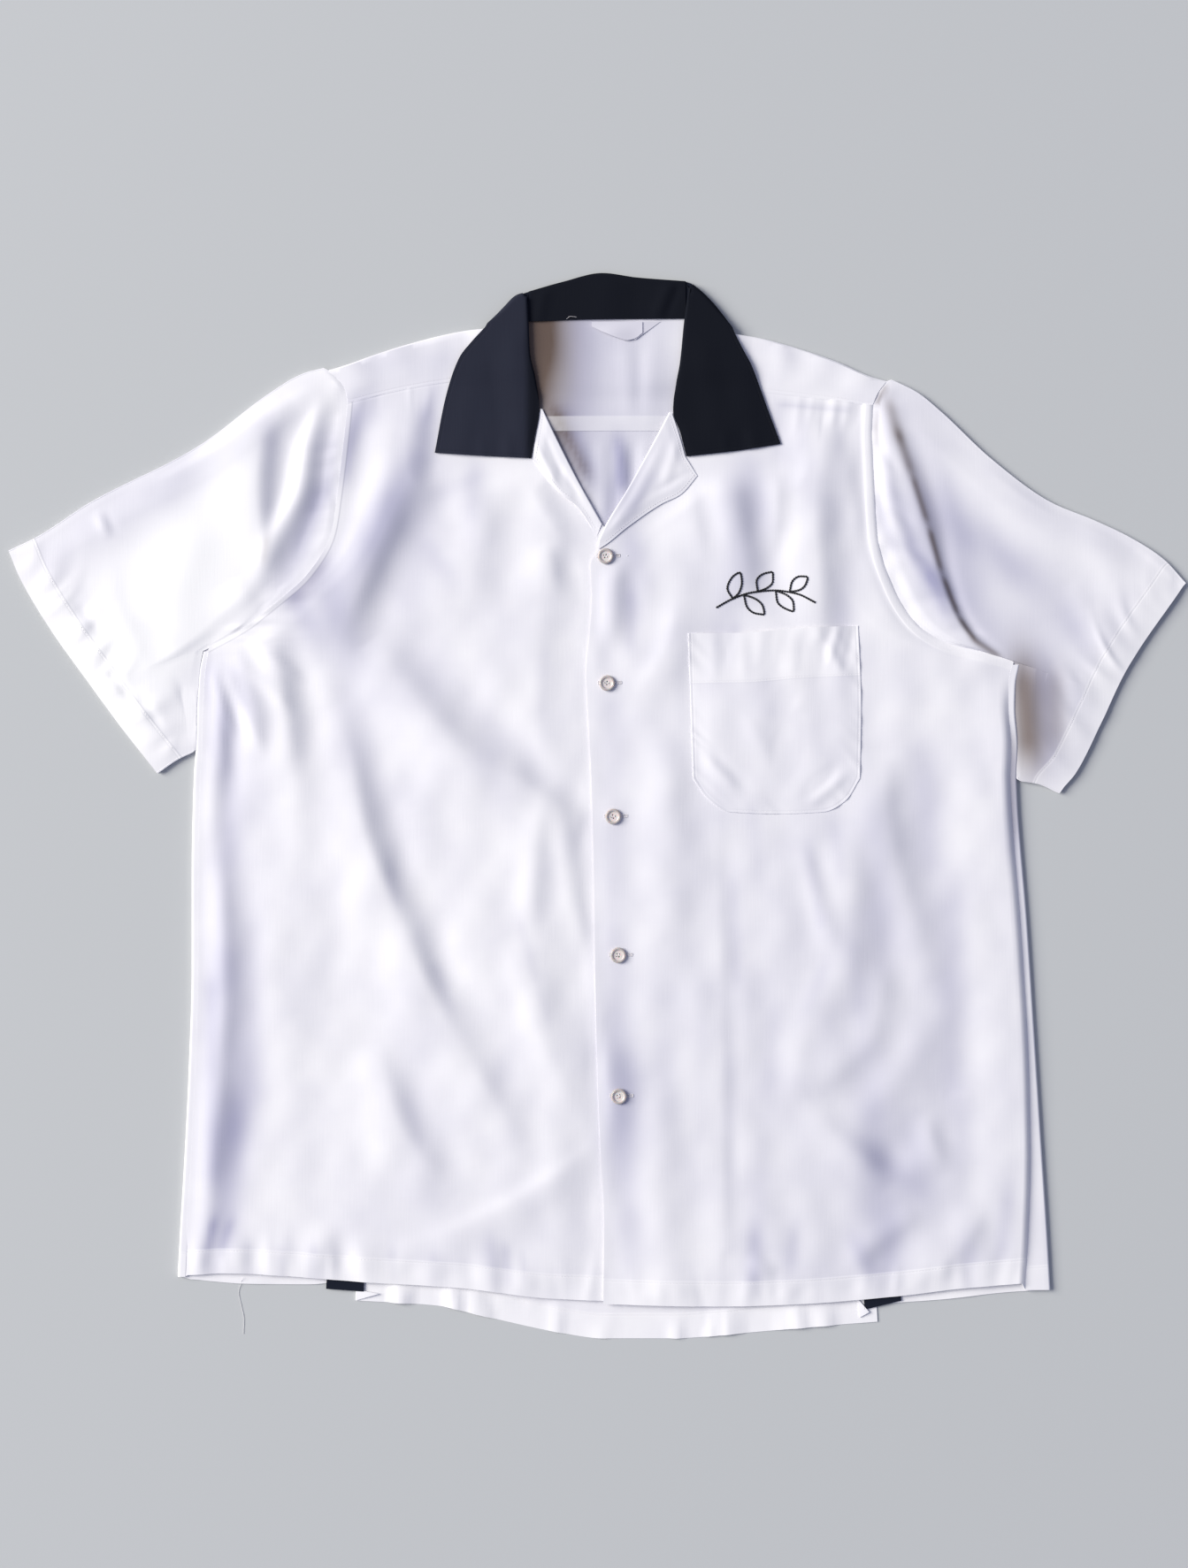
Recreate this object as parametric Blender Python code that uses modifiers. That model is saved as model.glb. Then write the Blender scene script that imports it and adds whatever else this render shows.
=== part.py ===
"""Two-tone bowling shirt, laid flat on its back: white rayon body, black camp collar.

The origin is the middle of the shirt on the surface it lies on. +X is to the
right as seen from above, +Y towards the collar, +Z up. Sizes are millimetres.
"Left" and "right" are as seen from above, so front_right, on top, is the
wearer's left front.
"""
import math

import bpy
import numpy as np

MM = 0.001

# ---- cloth and the way it is layered ----------------------------------------
WALL = 1.0                      # thickness of a cloth wall
SEAM = 0.3                      # gap left between two pieces that touch
LAYER = WALL + SEAM             # one layer on top of another
SLACK = 0.2                     # more room where two layers bend differently
BACK = WALL / 2                 # height of the middle of the lowest layer
FRONT = BACK + 2 * LAYER        # the fronts leave room for the pleat gussets
ROLL = (FRONT - BACK) / 2       # radius of the side and shoulder folds
ROLL_REACH = ROLL + WALL / 2    # from a fold's flat end to its outside
LAP = LAYER + SLACK / 2         # the right front lies over the left one
TURNED = FRONT + LAP            # lapels and collar leaves lie over the fronts
COLLAR_LIFT = LAYER             # the yoke rises over the collar's back fall
LEAF_HIGH = TURNED + LAP        # the leaf where it passes over the yoke
LEAF_ROLL = (LEAF_HIGH - BACK) / 2
LOFT = 2.0                      # air under the loose middle of a front
FADE = 38.0                     # the loft dies out over this width at the seams
ROLL_ANGLES = (-45, 0, 45)      # points round a fold, besides its flat ends

# ---- how finely each stretch is divided -------------------------------------
SIDE_LOW_STEPS = 18             # hem to the sleeve's corner
SIDE_TUCK_STEPS = 4             # sleeve's corner to the armpit
ARMHOLE_STEPS = 8               # armpit to the back yoke seam
YOKE_SIDE_STEPS = 2             # back yoke seam to the front yoke seam
SHOULDER_STEPS = 3              # front yoke seam to the top of the armhole
FRONT_COLUMNS = 17
YOKE_COLUMNS = 8
NECK_COLUMNS = 9
SLEEVE_STATIONS = 11
LEAF_ROWS = 8
LEAF_COLUMNS = 6
FAN_ROWS = 4


def table(names, *rows):
    """Named columns of a table, as arrays."""
    return dict(zip(names.split(), np.array(rows, dtype=float).T))


def points(rows):
    """The x and y columns of a table, side by side."""
    return np.stack([rows["x"], rows["y"]], axis=-1)


# ---- outlines, as laid out ----------------------------------------------------
SIDE_LOW = {
    "left": table("x y", (-303.0, -340.0), (-301.2, -306.0), (-298.0, -252.0), (-294.8, -185.0),
                  (-292.9, -121.0), (-292.9, -51.0), (-291.4, 20.0), (-289.9, 42.4)),
    "right": table("x y", (328.0, -349.5), (326.0, -313.0), (321.5, -244.0), (315.7, -153.0),
                   (311.2, -84.0), (304.5, 0.0), (303.6, 20.7)),
}
SIDE_TUCK = {
    "left": table("x y", (-289.9, 42.4), (-289.5, 63.6), (-287.8, 96.0), (-285.2, 112.8)),
    "right": table("x y", (303.6, 20.7), (304.5, 43.1), (302.5, 70.6), (303.0, 87.2),
                   (306.0, 103.2)),
}
# How far the cloth of the back comes round to the front at the side, by height.
WRAP = {
    "left": table("y width", (-340.0, 3.0), (113.0, 3.0)),
    "right": table("y width", (-349.5, 16.5), (-313.0, 12.5), (-244.0, 6.5), (-150.0, 3.5),
                   (103.2, 3.0)),
}
ARMHOLE = {
    "left": table("x y", (-285.2, 112.8), (-253.9, 130.1), (-236.0, 144.2), (-209.1, 167.9),
                  (-192.4, 196.7), (-188.0, 223.6), (-185.4, 244.0), (-182.3, 271.0)),
    "right": table("x y", (306.0, 103.2), (278.6, 110.9), (253.0, 118.0), (231.2, 132.0),
                   (214.6, 157.6), (203.0, 195.4), (200.3, 238.3), (199.0, 271.0)),
}
YOKE_SIDE = {
    "left": table("x y", (-182.3, 271.0), (-180.4, 291.5)),
    "right": table("x y", (199.0, 271.0), (199.8, 289.5)),
}
SHOULDER_SIDE = {
    "left": table("x y", (-180.4, 291.5), (-181.6, 299.1), (-188.0, 308.0), (-194.0, 313.2)),
    "right": table("x y", (199.8, 289.5), (203.5, 298.0), (209.0, 305.4)),
}
# Shoulder folds, from the armhole to the neck; both dip under the collar.
SHOULDER = {
    "left": table("x y", (-194.5, 315.0), (-181.6, 318.9), (-161.7, 326.0), (-138.0, 333.6),
                  (-108.0, 341.3), (-93.0, 344.0), (-78.0, 345.3), (-66.0, 348.5),
                  (-54.0, 352.5)),
    "right": table("x y", (209.5, 307.2), (198.0, 310.6), (173.0, 321.5), (138.4, 333.0),
                   (116.0, 338.8), (97.0, 341.8), (82.0, 346.5), (69.0, 352.5)),
}
NECKLINE_Y = 353.0
# Front yoke seams, from the armhole to the neck edge under the collar.
YOKE_SEAM = {
    "left": table("x y", (-180.4, 291.5), (-150.8, 299.0), (-131.6, 303.0), (-106.7, 307.0),
                  (-73.4, 311.0), (-49.5, 313.0)),
    "right": table("x y", (199.8, 289.5), (173.0, 293.3), (142.3, 297.2), (125.0, 299.1),
                   (93.0, 306.8), (62.0, 312.0)),
}
BACK_SEAM_Y = 270.0
BACK_TOP_Y = 277.0
# Edge of the neck opening under the collar, from the lapel's roll to the yoke.
NECK_EDGE = {
    "left": table("x y", (-43.0, 287.5), (-46.5, 300.0), (-49.5, 313.0)),
    "right": table("x y", (56.6, 285.6), (59.5, 299.0), (62.0, 312.0)),
}
YOKE_NECK = {
    "left": table("x y", (-49.5, 313.0), (-52.5, 330.0), (-54.0, 350.7)),
    "right": table("x y", (62.0, 312.0), (66.0, 330.0), (69.0, 350.7)),
}
# Roll lines of the lapels, from the foot of the V up to the collar.
LAPEL_ROLL = {
    "left": table("x y", (6.0, 200.5), (-15.8, 237.6), (-31.8, 269.6), (-43.0, 287.5)),
    "right": table("x y", (2.1, 190.9), (6.0, 200.5), (22.6, 228.0), (38.6, 256.8),
                   (56.6, 285.6)),
}
# Front edge of the top layer and of the layer hidden under it, hem upwards.
TOP_EDGE = table("x y", (4.7, -359.5), (5.3, -300.0), (2.8, -249.0), (0.8, -201.0),
                 (-1.0, -128.0), (-1.9, -60.0), (-3.9, 20.0), (-6.6, 77.6), (-7.4, 96.2),
                 (-4.9, 126.9), (-3.4, 151.2), (-4.3, 175.6), (0.8, 184.5), (2.1, 190.9))
UNDER_EDGE = table("x y", (33.0, -358.0), (33.0, -250.0), (28.0, -60.0), (23.0, 80.0),
                   (23.0, 165.0), (14.0, 188.0), (6.0, 200.5))
FRONT_HEM = {
    "left": table("x y", (-298.0, -339.0), (-265.4, -337.4), (-229.6, -339.0), (-170.0, -343.6),
                  (-99.6, -348.0), (-33.7, -355.6), (33.0, -358.5)),
    "right": table("x y", (309.0, -344.1), (261.3, -348.5), (219.1, -353.7), (148.0, -359.5),
                   (90.0, -361.4), (4.7, -359.5)),
}
BACK_SIDE_HEM = {
    "left": table("x y", (-189.0, -344.5), (-207.8, -346.0), (-251.3, -345.6), (-301.0, -341.5)),
    "right": table("x y", (213.0, -359.5), (249.8, -356.9), (295.2, -351.8), (326.0, -349.7)),
}
BACK_CENTRE_HEM = table("x y", (-174.5, -357.6), (-115.0, -361.5), (-79.8, -369.5),
                        (-25.4, -381.2), (4.0, -385.1), (54.6, -385.1), (109.0, -381.0),
                        (155.7, -376.8), (203.0, -373.0))
# Pleats of the back: x of each edge at the yoke seam and at the hem.
PLEAT = {
    "left": {"side_top": -153.0, "side_hem": -189.0, "centre_top": -151.0, "centre_hem": -174.5,
             "gusset_top": (-160.0, -144.0), "gusset_hem": (-195.6, -168.5),
             "gusset_hem_y": (-349.0, -351.0)},
    "right": {"side_top": 169.0, "side_hem": 213.0, "centre_top": 167.0, "centre_hem": 203.0,
              "gusset_top": (160.0, 176.0), "gusset_hem": (193.5, 220.0),
              "gusset_hem_y": (-364.0, -357.5)},
}
GUSSET_TOP_Y = BACK_SEAM_Y - SEAM

# Sleeves: the fold along the top, the edge of the cuff, the fold under the arm.
SLEEVE_TOP = {
    "left": table("x y", (-194.5, 315.0), (-211.0, 310.6), (-236.0, 295.9), (-280.8, 262.0),
                  (-300.0, 250.4), (-363.3, 218.4), (-403.0, 192.8), (-424.0, 182.6)),
    "right": table("x y", (209.5, 307.2), (230.0, 297.2), (246.0, 284.4), (284.4, 248.5),
                   (326.6, 217.8), (358.6, 204.4), (384.2, 192.2), (407.9, 176.8),
                   (423.9, 159.6)),
}
CUFF = {
    "left": table("x y", (-424.0, 182.6), (-416.4, 164.7), (-394.0, 126.9), (-368.4, 91.1),
                  (-346.0, 60.4), (-318.5, 25.2)),
    "right": table("x y", (423.9, 159.6), (382.3, 98.1), (363.1, 57.8), (345.8, 23.9),
                   (334.9, 11.1)),
}
# Share of the cuff, from its top, that lies opposite the armhole above the armpit.
CUFF_SHARE = {"left": 0.6, "right": 0.55}
CUFF_STEPS = 60
UNDERARM = {
    "left": table("x y", (-289.9, 41.6), (-302.5, 36.0), (-318.5, 25.2)),
    "right": table("x y", (303.6, 20.2), (318.3, 18.1), (334.9, 11.1)),
}

# Collar leaves: free edge from the tip to the shoulder, inner edge from the
# lapel up to the neck, and the fold that carries the leaf round the shoulder.
LEAF_FREE = {
    "left": table("x y", (-116.9, 254.9), (-108.6, 296.5), (-99.0, 323.4), (-91.3, 333.6),
                  (-79.0, 347.0)),
    "right": table("x y", (132.7, 261.3), (123.1, 286.9), (111.6, 317.6), (105.0, 330.0),
                   (98.0, 344.0)),
}
LEAF_FRONT_END = {
    "left": table("x y", (-116.9, 254.9), (-80.0, 252.6), (-47.2, 251.1)),
    "right": table("x y", (132.7, 261.3), (99.4, 256.2), (64.6, 252.4)),
}
LEAF_INNER = {
    "left": table("x y", (-47.2, 251.1), (-44.6, 266.4), (-41.4, 286.0), (-44.0, 308.0),
                  (-48.2, 327.2), (-49.1, 348.0), (-50.0, 366.0)),
    "right": table("x y", (64.6, 252.4), (60.2, 269.6), (55.0, 285.0), (57.2, 304.8),
                   (59.9, 319.6), (62.9, 349.0), (66.0, 372.5)),
}
LEAF_SHOULDER_FOLD = {
    "left": table("x y", (-79.0, 347.8), (-67.5, 360.5), (-58.0, 369.4), (-52.5, 371.2)),
    "right": table("x y", (98.0, 344.6), (88.5, 358.5), (77.5, 370.5), (68.5, 378.0)),
}
# Back of the collar: the fold at the top, the neck seam, the hidden free edge.
COLLAR_TOP = table("x y", (-49.0, 372.2), (-24.8, 379.1), (4.0, 385.5), (29.0, 382.3),
                   (64.0, 379.6))
STAND_SEAM = table("x y", (-50.5, 349.8), (-5.6, 351.4), (64.5, 352.0))
FALL_FREE = table("x y", (-46.0, 326.0), (8.0, 319.0), (61.0, 326.0))
FALL_DROP_MIDDLE = 8.0          # x of the middle of the back of the neck
FALL_HALF_WIDTH = 88.0
FOLD_OPENS = 2.5                # the leaf's fold is open after 1 / 2.5 of its length
# Along the gorge seam the leaf is flat beside the lapel; above it, it rolls.
GORGE_Y = 290.0
GORGE_FADE = 14.0

LAPEL_EDGE = {
    "left": (table("x y", (-40.6, 287.0), (-43.9, 266.4), (-46.5, 251.1)),
             table("x y", (-46.5, 251.1), (-28.6, 227.4), (-13.2, 215.2), (0.0, 194.5))),
    "right": (table("x y", (53.6, 285.2), (58.8, 269.6), (63.7, 252.2)),
              table("x y", (63.7, 252.2), (72.5, 238.3)),
              table("x y", (72.5, 238.3), (60.4, 224.8), (46.3, 217.8), (21.3, 200.5),
                    (7.9, 189.6), (1.4, 185.4))),
}
LAPEL_EDGE_STEPS = {"left": (2, 6), "right": (2, 1, 6)}
LAPEL_FOOT = {
    "left": table("x y", (3.2, 203.0), (-15.8, 237.2), (-31.8, 269.0), (-40.0, 286.4)),
    "right": table("x y", (2.4, 191.5), (6.6, 200.5), (23.2, 228.0), (39.2, 256.8),
                   (53.4, 283.6)),
}

# Pocket, as seen on the right front.
POCKET_TOP = table("x y", (66.1, 124.5), (105.8, 125.0), (144.2, 128.2), (188.4, 130.1))
POCKET_LEFT = table("x y", (69.6, 20.0), (68.0, 71.0), (66.1, 124.5))
POCKET_RIGHT = table("x y", (189.6, 20.0), (190.5, 71.0), (188.4, 130.1))
POCKET_BOTTOM = table("x y", (69.6, 20.0), (80.2, 5.3), (96.2, -4.3), (131.4, -5.6),
                      (163.4, -4.3), (179.4, 4.0), (189.6, 20.0))

LABEL_WIDTH = 35.0
LABEL_DROP = 9.5
LABEL_SAG = 2.5
LABEL_X = 14.0
LABEL_Y = 349.6

BUTTONS = table("x y", (6.4, 180.2), (7.5, 88.6), (11.9, -7.6), (15.5, -107.6), (15.9, -209.2))
BUTTON_RADIUS = 5.7
BUTTON_SIDES = 16
# Half outline of a button, from the middle of its top to the middle of its foot.
BUTTON_PROFILE = table("radius height", (0.0, 1.7), (3.3, 1.8), (4.1, 2.5), (5.0, 2.6),
                       (5.7, 1.9), (5.5, 0.9), (4.2, 0.0), (0.0, 0.0))

# Largest folds: a soft ridge (height above 0) or trough (below 0) along a line.
FRONT_FOLDS = {
    "left": table("x0 y0 x1 y1 height width",
                  (-208, 122, -90, 62, -2.0, 20), (-110, 60, -20, 8, -1.8, 15),
                  (-165, 128, -70, 50, 3.6, 22), (-60, 78, -25, 50, 2.0, 16),
                  (-176, 7, -125, -100, -2.0, 19), (-125, -100, -67, -198, -2.2, 18),
                  (-144, -10, -84, -130, 3.8, 22), (-60, -130, -30, -200, 2.4, 20),
                  (-144, -185, -112, -249, -1.8, 18),
                  (-265, 71, -263, -150, -2.0, 16), (-263, -150, -266, -300, -2.0, 14),
                  (-230, 40, -236, -290, 3.0, 20),
                  (-141, 240, -172, 150, -2.0, 18), (-118, 235, -148, 140, 2.8, 18),
                  (-58, -20, -34, -100, 2.2, 14), (-60, -225, -26, -300, 2.2, 24),
                  (-200, 110, -200, 20, 1.8, 22)),
    "right": table("x0 y0 x1 y1 height width",
                   (99, 230, 99, 165, -1.8, 18), (178, 240, 182, 165, -2.0, 18),
                   (140, 240, 136, 170, 3.0, 22),
                   (215, 0, 230, -60, -2.0, 15), (230, -60, 250, -125, -1.8, 17),
                   (240, 30, 264, -60, 3.2, 18),
                   (84, -50, 92, -170, 2.2, 20), (144, -120, 150, -165, -2.0, 22),
                   (118, -195, 165, -150, 3.0, 20), (202, -235, 190, -268, -2.2, 20),
                   (284, 70, 288, -230, 2.6, 17), (300, -240, 250, -320, 3.0, 17),
                   (232, -185, 178, -300, 2.8, 19), (72, -235, 76, -330, 2.0, 20)),
}
SLEEVE_FOLDS = {
    "left": table("x0 y0 x1 y1 height width",
                  (-206, 280, -238, 178, 5.0, 12), (-194, 262, -207, 190, -1.4, 8),
                  (-250, 262, -250, 185, -1.6, 14), (-275, 235, -262, 130, 2.0, 18),
                  (-330, 170, -300, 80, 2.2, 24), (-385, 150, -345, 90, -1.4, 16)),
    "right": table("x0 y0 x1 y1 height width",
                   (214, 282, 224, 205, 4.0, 9), (224, 205, 248, 145, 3.6, 9),
                   (222, 263, 235, 206, -1.4, 7), (235, 206, 262, 140, -1.4, 7),
                   (246, 262, 268, 180, 4.6, 13), (268, 180, 300, 120, 4.0, 14),
                   (330, 190, 350, 90, 2.0, 24), (300, 80, 330, 40, -1.2, 14)),
}

SIDES = {"left": -1.0, "right": 1.0}
FINISHES = {
    "white_rayon": ((0.84, 0.83, 0.84, 1.0), 0.62),
    "black_rayon": ((0.012, 0.014, 0.022, 1.0), 0.7),
    "white_ribbon": ((0.8, 0.79, 0.78, 1.0), 0.5),
    "smoky_pearl": ((0.45, 0.42, 0.4, 1.0), 0.25),
}


# ---- arithmetic -----------------------------------------------------------------
def ramp(value):
    """0 below 0, 1 above 1, and a soft S between."""
    held = np.clip(value, 0.0, 1.0)
    return held * held * (3.0 - 2.0 * held)


def through(knots, values, wanted):
    """Smooth curve through the values, with no overshoot between them."""
    step = np.diff(knots)
    rise = np.diff(values) / step
    slope = np.zeros(len(values))
    slope[0], slope[-1] = rise[0], rise[-1]
    product = rise[1:] * rise[:-1]
    total = np.where(product > 0, rise[1:] + rise[:-1], 1.0)
    slope[1:-1] = np.where(product > 0, 2.0 * product / total, 0.0)
    piece = np.clip(np.searchsorted(knots, wanted) - 1, 0, len(step) - 1)
    s = (wanted - knots[piece]) / step[piece]
    width = step[piece]
    return ((1 + 2 * s) * (1 - s) ** 2 * values[piece]
            + s * (1 - s) ** 2 * width * slope[piece]
            + s * s * (3 - 2 * s) * values[piece + 1]
            + s * s * (s - 1) * width * slope[piece + 1])


def run(rows, steps):
    """Evenly spaced points along the smooth curve through a table's rows."""
    corners = points(rows)
    along = np.r_[0, np.cumsum(np.hypot(*np.diff(corners, axis=0).T))]
    fine = np.linspace(0, along[-1], 40 * steps + 1)
    curve = np.stack([through(along, corners[:, axis], fine) for axis in (0, 1)], axis=-1)
    length = np.r_[0, np.cumsum(np.hypot(*np.diff(curve, axis=0).T))]
    even = np.linspace(0, length[-1], steps + 1)
    return np.stack([np.interp(even, length, curve[:, axis]) for axis in (0, 1)], axis=-1)


def join(*paths):
    """Paths end to end, with the shared corner points kept once."""
    return np.concatenate([paths[0]] + [path[1:] for path in paths[1:]])


def normals(path, side):
    """Unit normals of a path in plan, on its left (1) or its right (-1)."""
    along = np.gradient(path, axis=0)
    along /= np.hypot(*along.T)[:, None]
    return side * np.stack([-along[:, 1], along[:, 0]], axis=-1)


def patch(bottom, top, left, right):
    """Surface spanned by four edges: ruled both ways, less the ruled corners."""
    u = np.linspace(0, 1, len(bottom))[None, :, None]
    v = np.linspace(0, 1, len(left))[:, None, None]
    across = (1 - v) * bottom[None] + v * top[None]
    along = (1 - u) * left[:, None] + u * right[:, None]
    corners = ((1 - u) * (1 - v) * bottom[0] + u * (1 - v) * bottom[-1]
               + (1 - u) * v * top[0] + u * v * top[-1])
    return across + along - corners


def lifted(plan, height):
    """Points in plan with their heights."""
    return np.concatenate([plan, np.broadcast_to(height, plan.shape[:-1])[..., None]], axis=-1)


def folds(rows, x, y):
    """Sum of soft ridges, each dying out with the distance to its own line."""
    total = np.zeros(np.shape(x))
    for x0, y0, x1, y1, height, width in zip(*rows.values()):
        dx, dy = x1 - x0, y1 - y0
        near = np.clip(((x - x0) * dx + (y - y0) * dy) / (dx * dx + dy * dy), 0, 1)
        away = np.hypot(x - x0 - near * dx, y - y0 - near * dy)
        total += height * np.exp(-(away / width) ** 2)
    return total


def rolled(flat_end, outward, low, high):
    """Points round a fold, from the low layer to the high one, low ones first."""
    radius = (high - low) / 2
    turned = []
    for angle in np.radians(ROLL_ANGLES):
        plan = flat_end + outward * (radius * math.cos(angle))
        turned.append(lifted(plan, low + radius * (1 + math.sin(angle))))
    return turned


# ---- shared edges ------------------------------------------------------------------
def side_outline(side):
    """Outline of the body's side, from the hem up to the armpit."""
    return join(run(SIDE_LOW[side], SIDE_LOW_STEPS), run(SIDE_TUCK[side], SIDE_TUCK_STEPS))


def armhole(side):
    """Armhole seam from the armpit to the front yoke seam."""
    return join(run(ARMHOLE[side], ARMHOLE_STEPS), run(YOKE_SIDE[side], YOKE_SIDE_STEPS))


def inside_armhole(side):
    """Armhole edge of the body, a seam's gap inside the sleeve's edge."""
    edge = join(armhole(side), run(SHOULDER_SIDE[side], SHOULDER_STEPS))
    return edge + normals(edge, SIDES[side]) * (2 * SEAM)


def front_side(side):
    """Side edge of a front: the outline less the cloth that comes round."""
    outline = side_outline(side)
    width = through(WRAP[side]["y"], WRAP[side]["width"], outline[:, 1]) + ROLL_REACH + SEAM
    edge = outline.copy()
    edge[:, 0] -= SIDES[side] * width
    seam = inside_armhole(side)
    reach = (edge[-1, 0] - seam[0, 0]) / (seam[1, 0] - seam[0, 0])
    edge[-1] = seam[0] + (seam[1] - seam[0]) * reach
    return edge


# ---- heights ------------------------------------------------------------------------
def quiet_under_collar(x, y):
    """0 under the collar and lapels, where the cloth lies flat, 1 away from them."""
    middle_x, middle_y, half_x, half_y, edge = 8.0, 300.0, 137.0, 122.0, 0.3
    return ramp((np.hypot((x - middle_x) / half_x, (y - middle_y) / half_y) - 1.0) / edge)


def lap_height(x, y):
    """Rise of the right front where it lies on the left front's edge."""
    under = np.interp(y, UNDER_EDGE["y"], UNDER_EDGE["x"])
    clear, slope, top_y, top_fade = 4.0, 28.0, 240.0, 28.0
    return LAP * ramp(1.0 - (x - under - clear) / slope) * ramp((top_y - y) / top_fade)


def front_height(side, grid):
    """Middle of a front's cloth: flat at its seams, lofted and folded inside."""
    x, y = grid[..., 0], grid[..., 1]
    columns = np.hypot(*np.diff(grid, axis=1).transpose(2, 0, 1))
    rows = np.hypot(*np.diff(grid, axis=0).transpose(2, 0, 1))
    from_side = np.concatenate([np.zeros((len(x), 1)), np.cumsum(columns, axis=1)], axis=1)
    from_hem = np.concatenate([np.zeros((1, x.shape[1])), np.cumsum(rows, axis=0)], axis=0)
    to_edge = from_side[:, -1:] - from_side
    to_seam = from_hem[-1:] - from_hem
    if side == "left":
        to_edge = np.where(y < UNDER_EDGE["y"][-1],
                           np.interp(y, TOP_EDGE["y"], TOP_EDGE["x"]) - x - LAP, to_edge)
    loft_at_hem = 0.35
    inside = (ramp(from_side / FADE) * ramp(to_edge / FADE)
              * ramp(loft_at_hem + from_hem / FADE) * ramp(to_seam / FADE))
    shape = np.maximum(LOFT + folds(FRONT_FOLDS[side], x, y), 0.0)
    height = FRONT + shape * inside * quiet_under_collar(x, y)
    if side == "right":
        height = height + lap_height(x, y)
    return height


def fall_edge_y(x):
    """Hidden free edge of the collar behind the neck."""
    middle, rise = 319.0, 27.0
    return middle + rise * ((x - FALL_DROP_MIDDLE) / FALL_HALF_WIDTH) ** 2


def collar_under(x, y):
    """1 where the collar's back fall lies under the yoke, 0 away from it."""
    reach = np.abs(x - FALL_DROP_MIDDLE) - FALL_HALF_WIDTH
    ahead, depth, clear, width = 32.0, 16.0, 3.0, 14.0
    return ramp((y - fall_edge_y(x) + ahead) / depth) * ramp(1.0 - (reach - clear) / width)


def yoke_back_height(x, y):
    """Middle of the yoke's back layer, over the back panels' edge and the collar."""
    seam_fade, seam_rise = 12.0, 9.0
    over_seam = ramp(1.0 - (y - BACK_TOP_Y - seam_rise) / seam_fade)
    return BACK + COLLAR_LIFT * np.maximum(over_seam, collar_under(x, y))


# ---- building -----------------------------------------------------------------------
def finish(name):
    """Material of a finish, made once."""
    if name in bpy.data.materials:
        return bpy.data.materials[name]
    colour, roughness = FINISHES[name]
    material = bpy.data.materials.new(name)
    material.use_nodes = True
    shader = material.node_tree.nodes["Principled BSDF"]
    shader.inputs["Base Color"].default_value = colour
    shader.inputs["Roughness"].default_value = roughness
    shader.inputs["Metallic"].default_value = 0.0
    return material


def part_material(name, base):
    """A part's own copy of a finish."""
    material = finish(base).copy()
    material.name = f"{name}_{base}"
    return material


def add_part(name, mesh, base):
    """Put a mesh into the shirt's collection as a named part."""
    part = bpy.data.objects.new(name, mesh)
    bpy.data.collections["bowling_shirt"].objects.link(part)
    mesh.materials.append(part_material(name, base))
    return part


def cloth(name, grid, base, keep=None, closed=False, wall=WALL):
    """A piece of cloth: the grid's open surface, thickened evenly both ways."""
    rows, columns = grid.shape[:2]
    index = np.arange(rows * columns).reshape(rows, columns)
    if closed:
        index = np.concatenate([index, index[:, :1]], axis=1)
    faces = np.stack([index[:-1, :-1], index[:-1, 1:], index[1:, 1:], index[1:, :-1]], axis=-1)
    faces = faces.reshape(-1, 4) if keep is None else faces[keep]
    used = np.unique(faces)
    renumber = np.zeros(rows * columns, dtype=int)
    renumber[used] = np.arange(len(used))
    mesh = bpy.data.meshes.new(name)
    mesh.from_pydata((grid.reshape(-1, 3)[used] * MM).tolist(), [], renumber[faces].tolist())
    mesh.shade_smooth()
    part = add_part(name, mesh, base)
    shell = part.modifiers.new("wall", "SOLIDIFY")
    shell.thickness = wall * MM
    shell.offset = 0.0
    return part


def make_back_centre():
    """Centre back between the pleats, longest at the hem."""
    columns = 16
    hem = run(BACK_CENTRE_HEM, columns)
    left, right = PLEAT["left"], PLEAT["right"]
    top = np.linspace((left["centre_top"], BACK_TOP_Y), (right["centre_top"], BACK_TOP_Y),
                      columns + 1)
    rows = 4
    grid = patch(hem, top, np.linspace(hem[0], top[0], rows + 1),
                 np.linspace(hem[-1], top[-1], rows + 1))
    cloth("back_centre", lifted(grid, BACK), "white_rayon")


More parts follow.
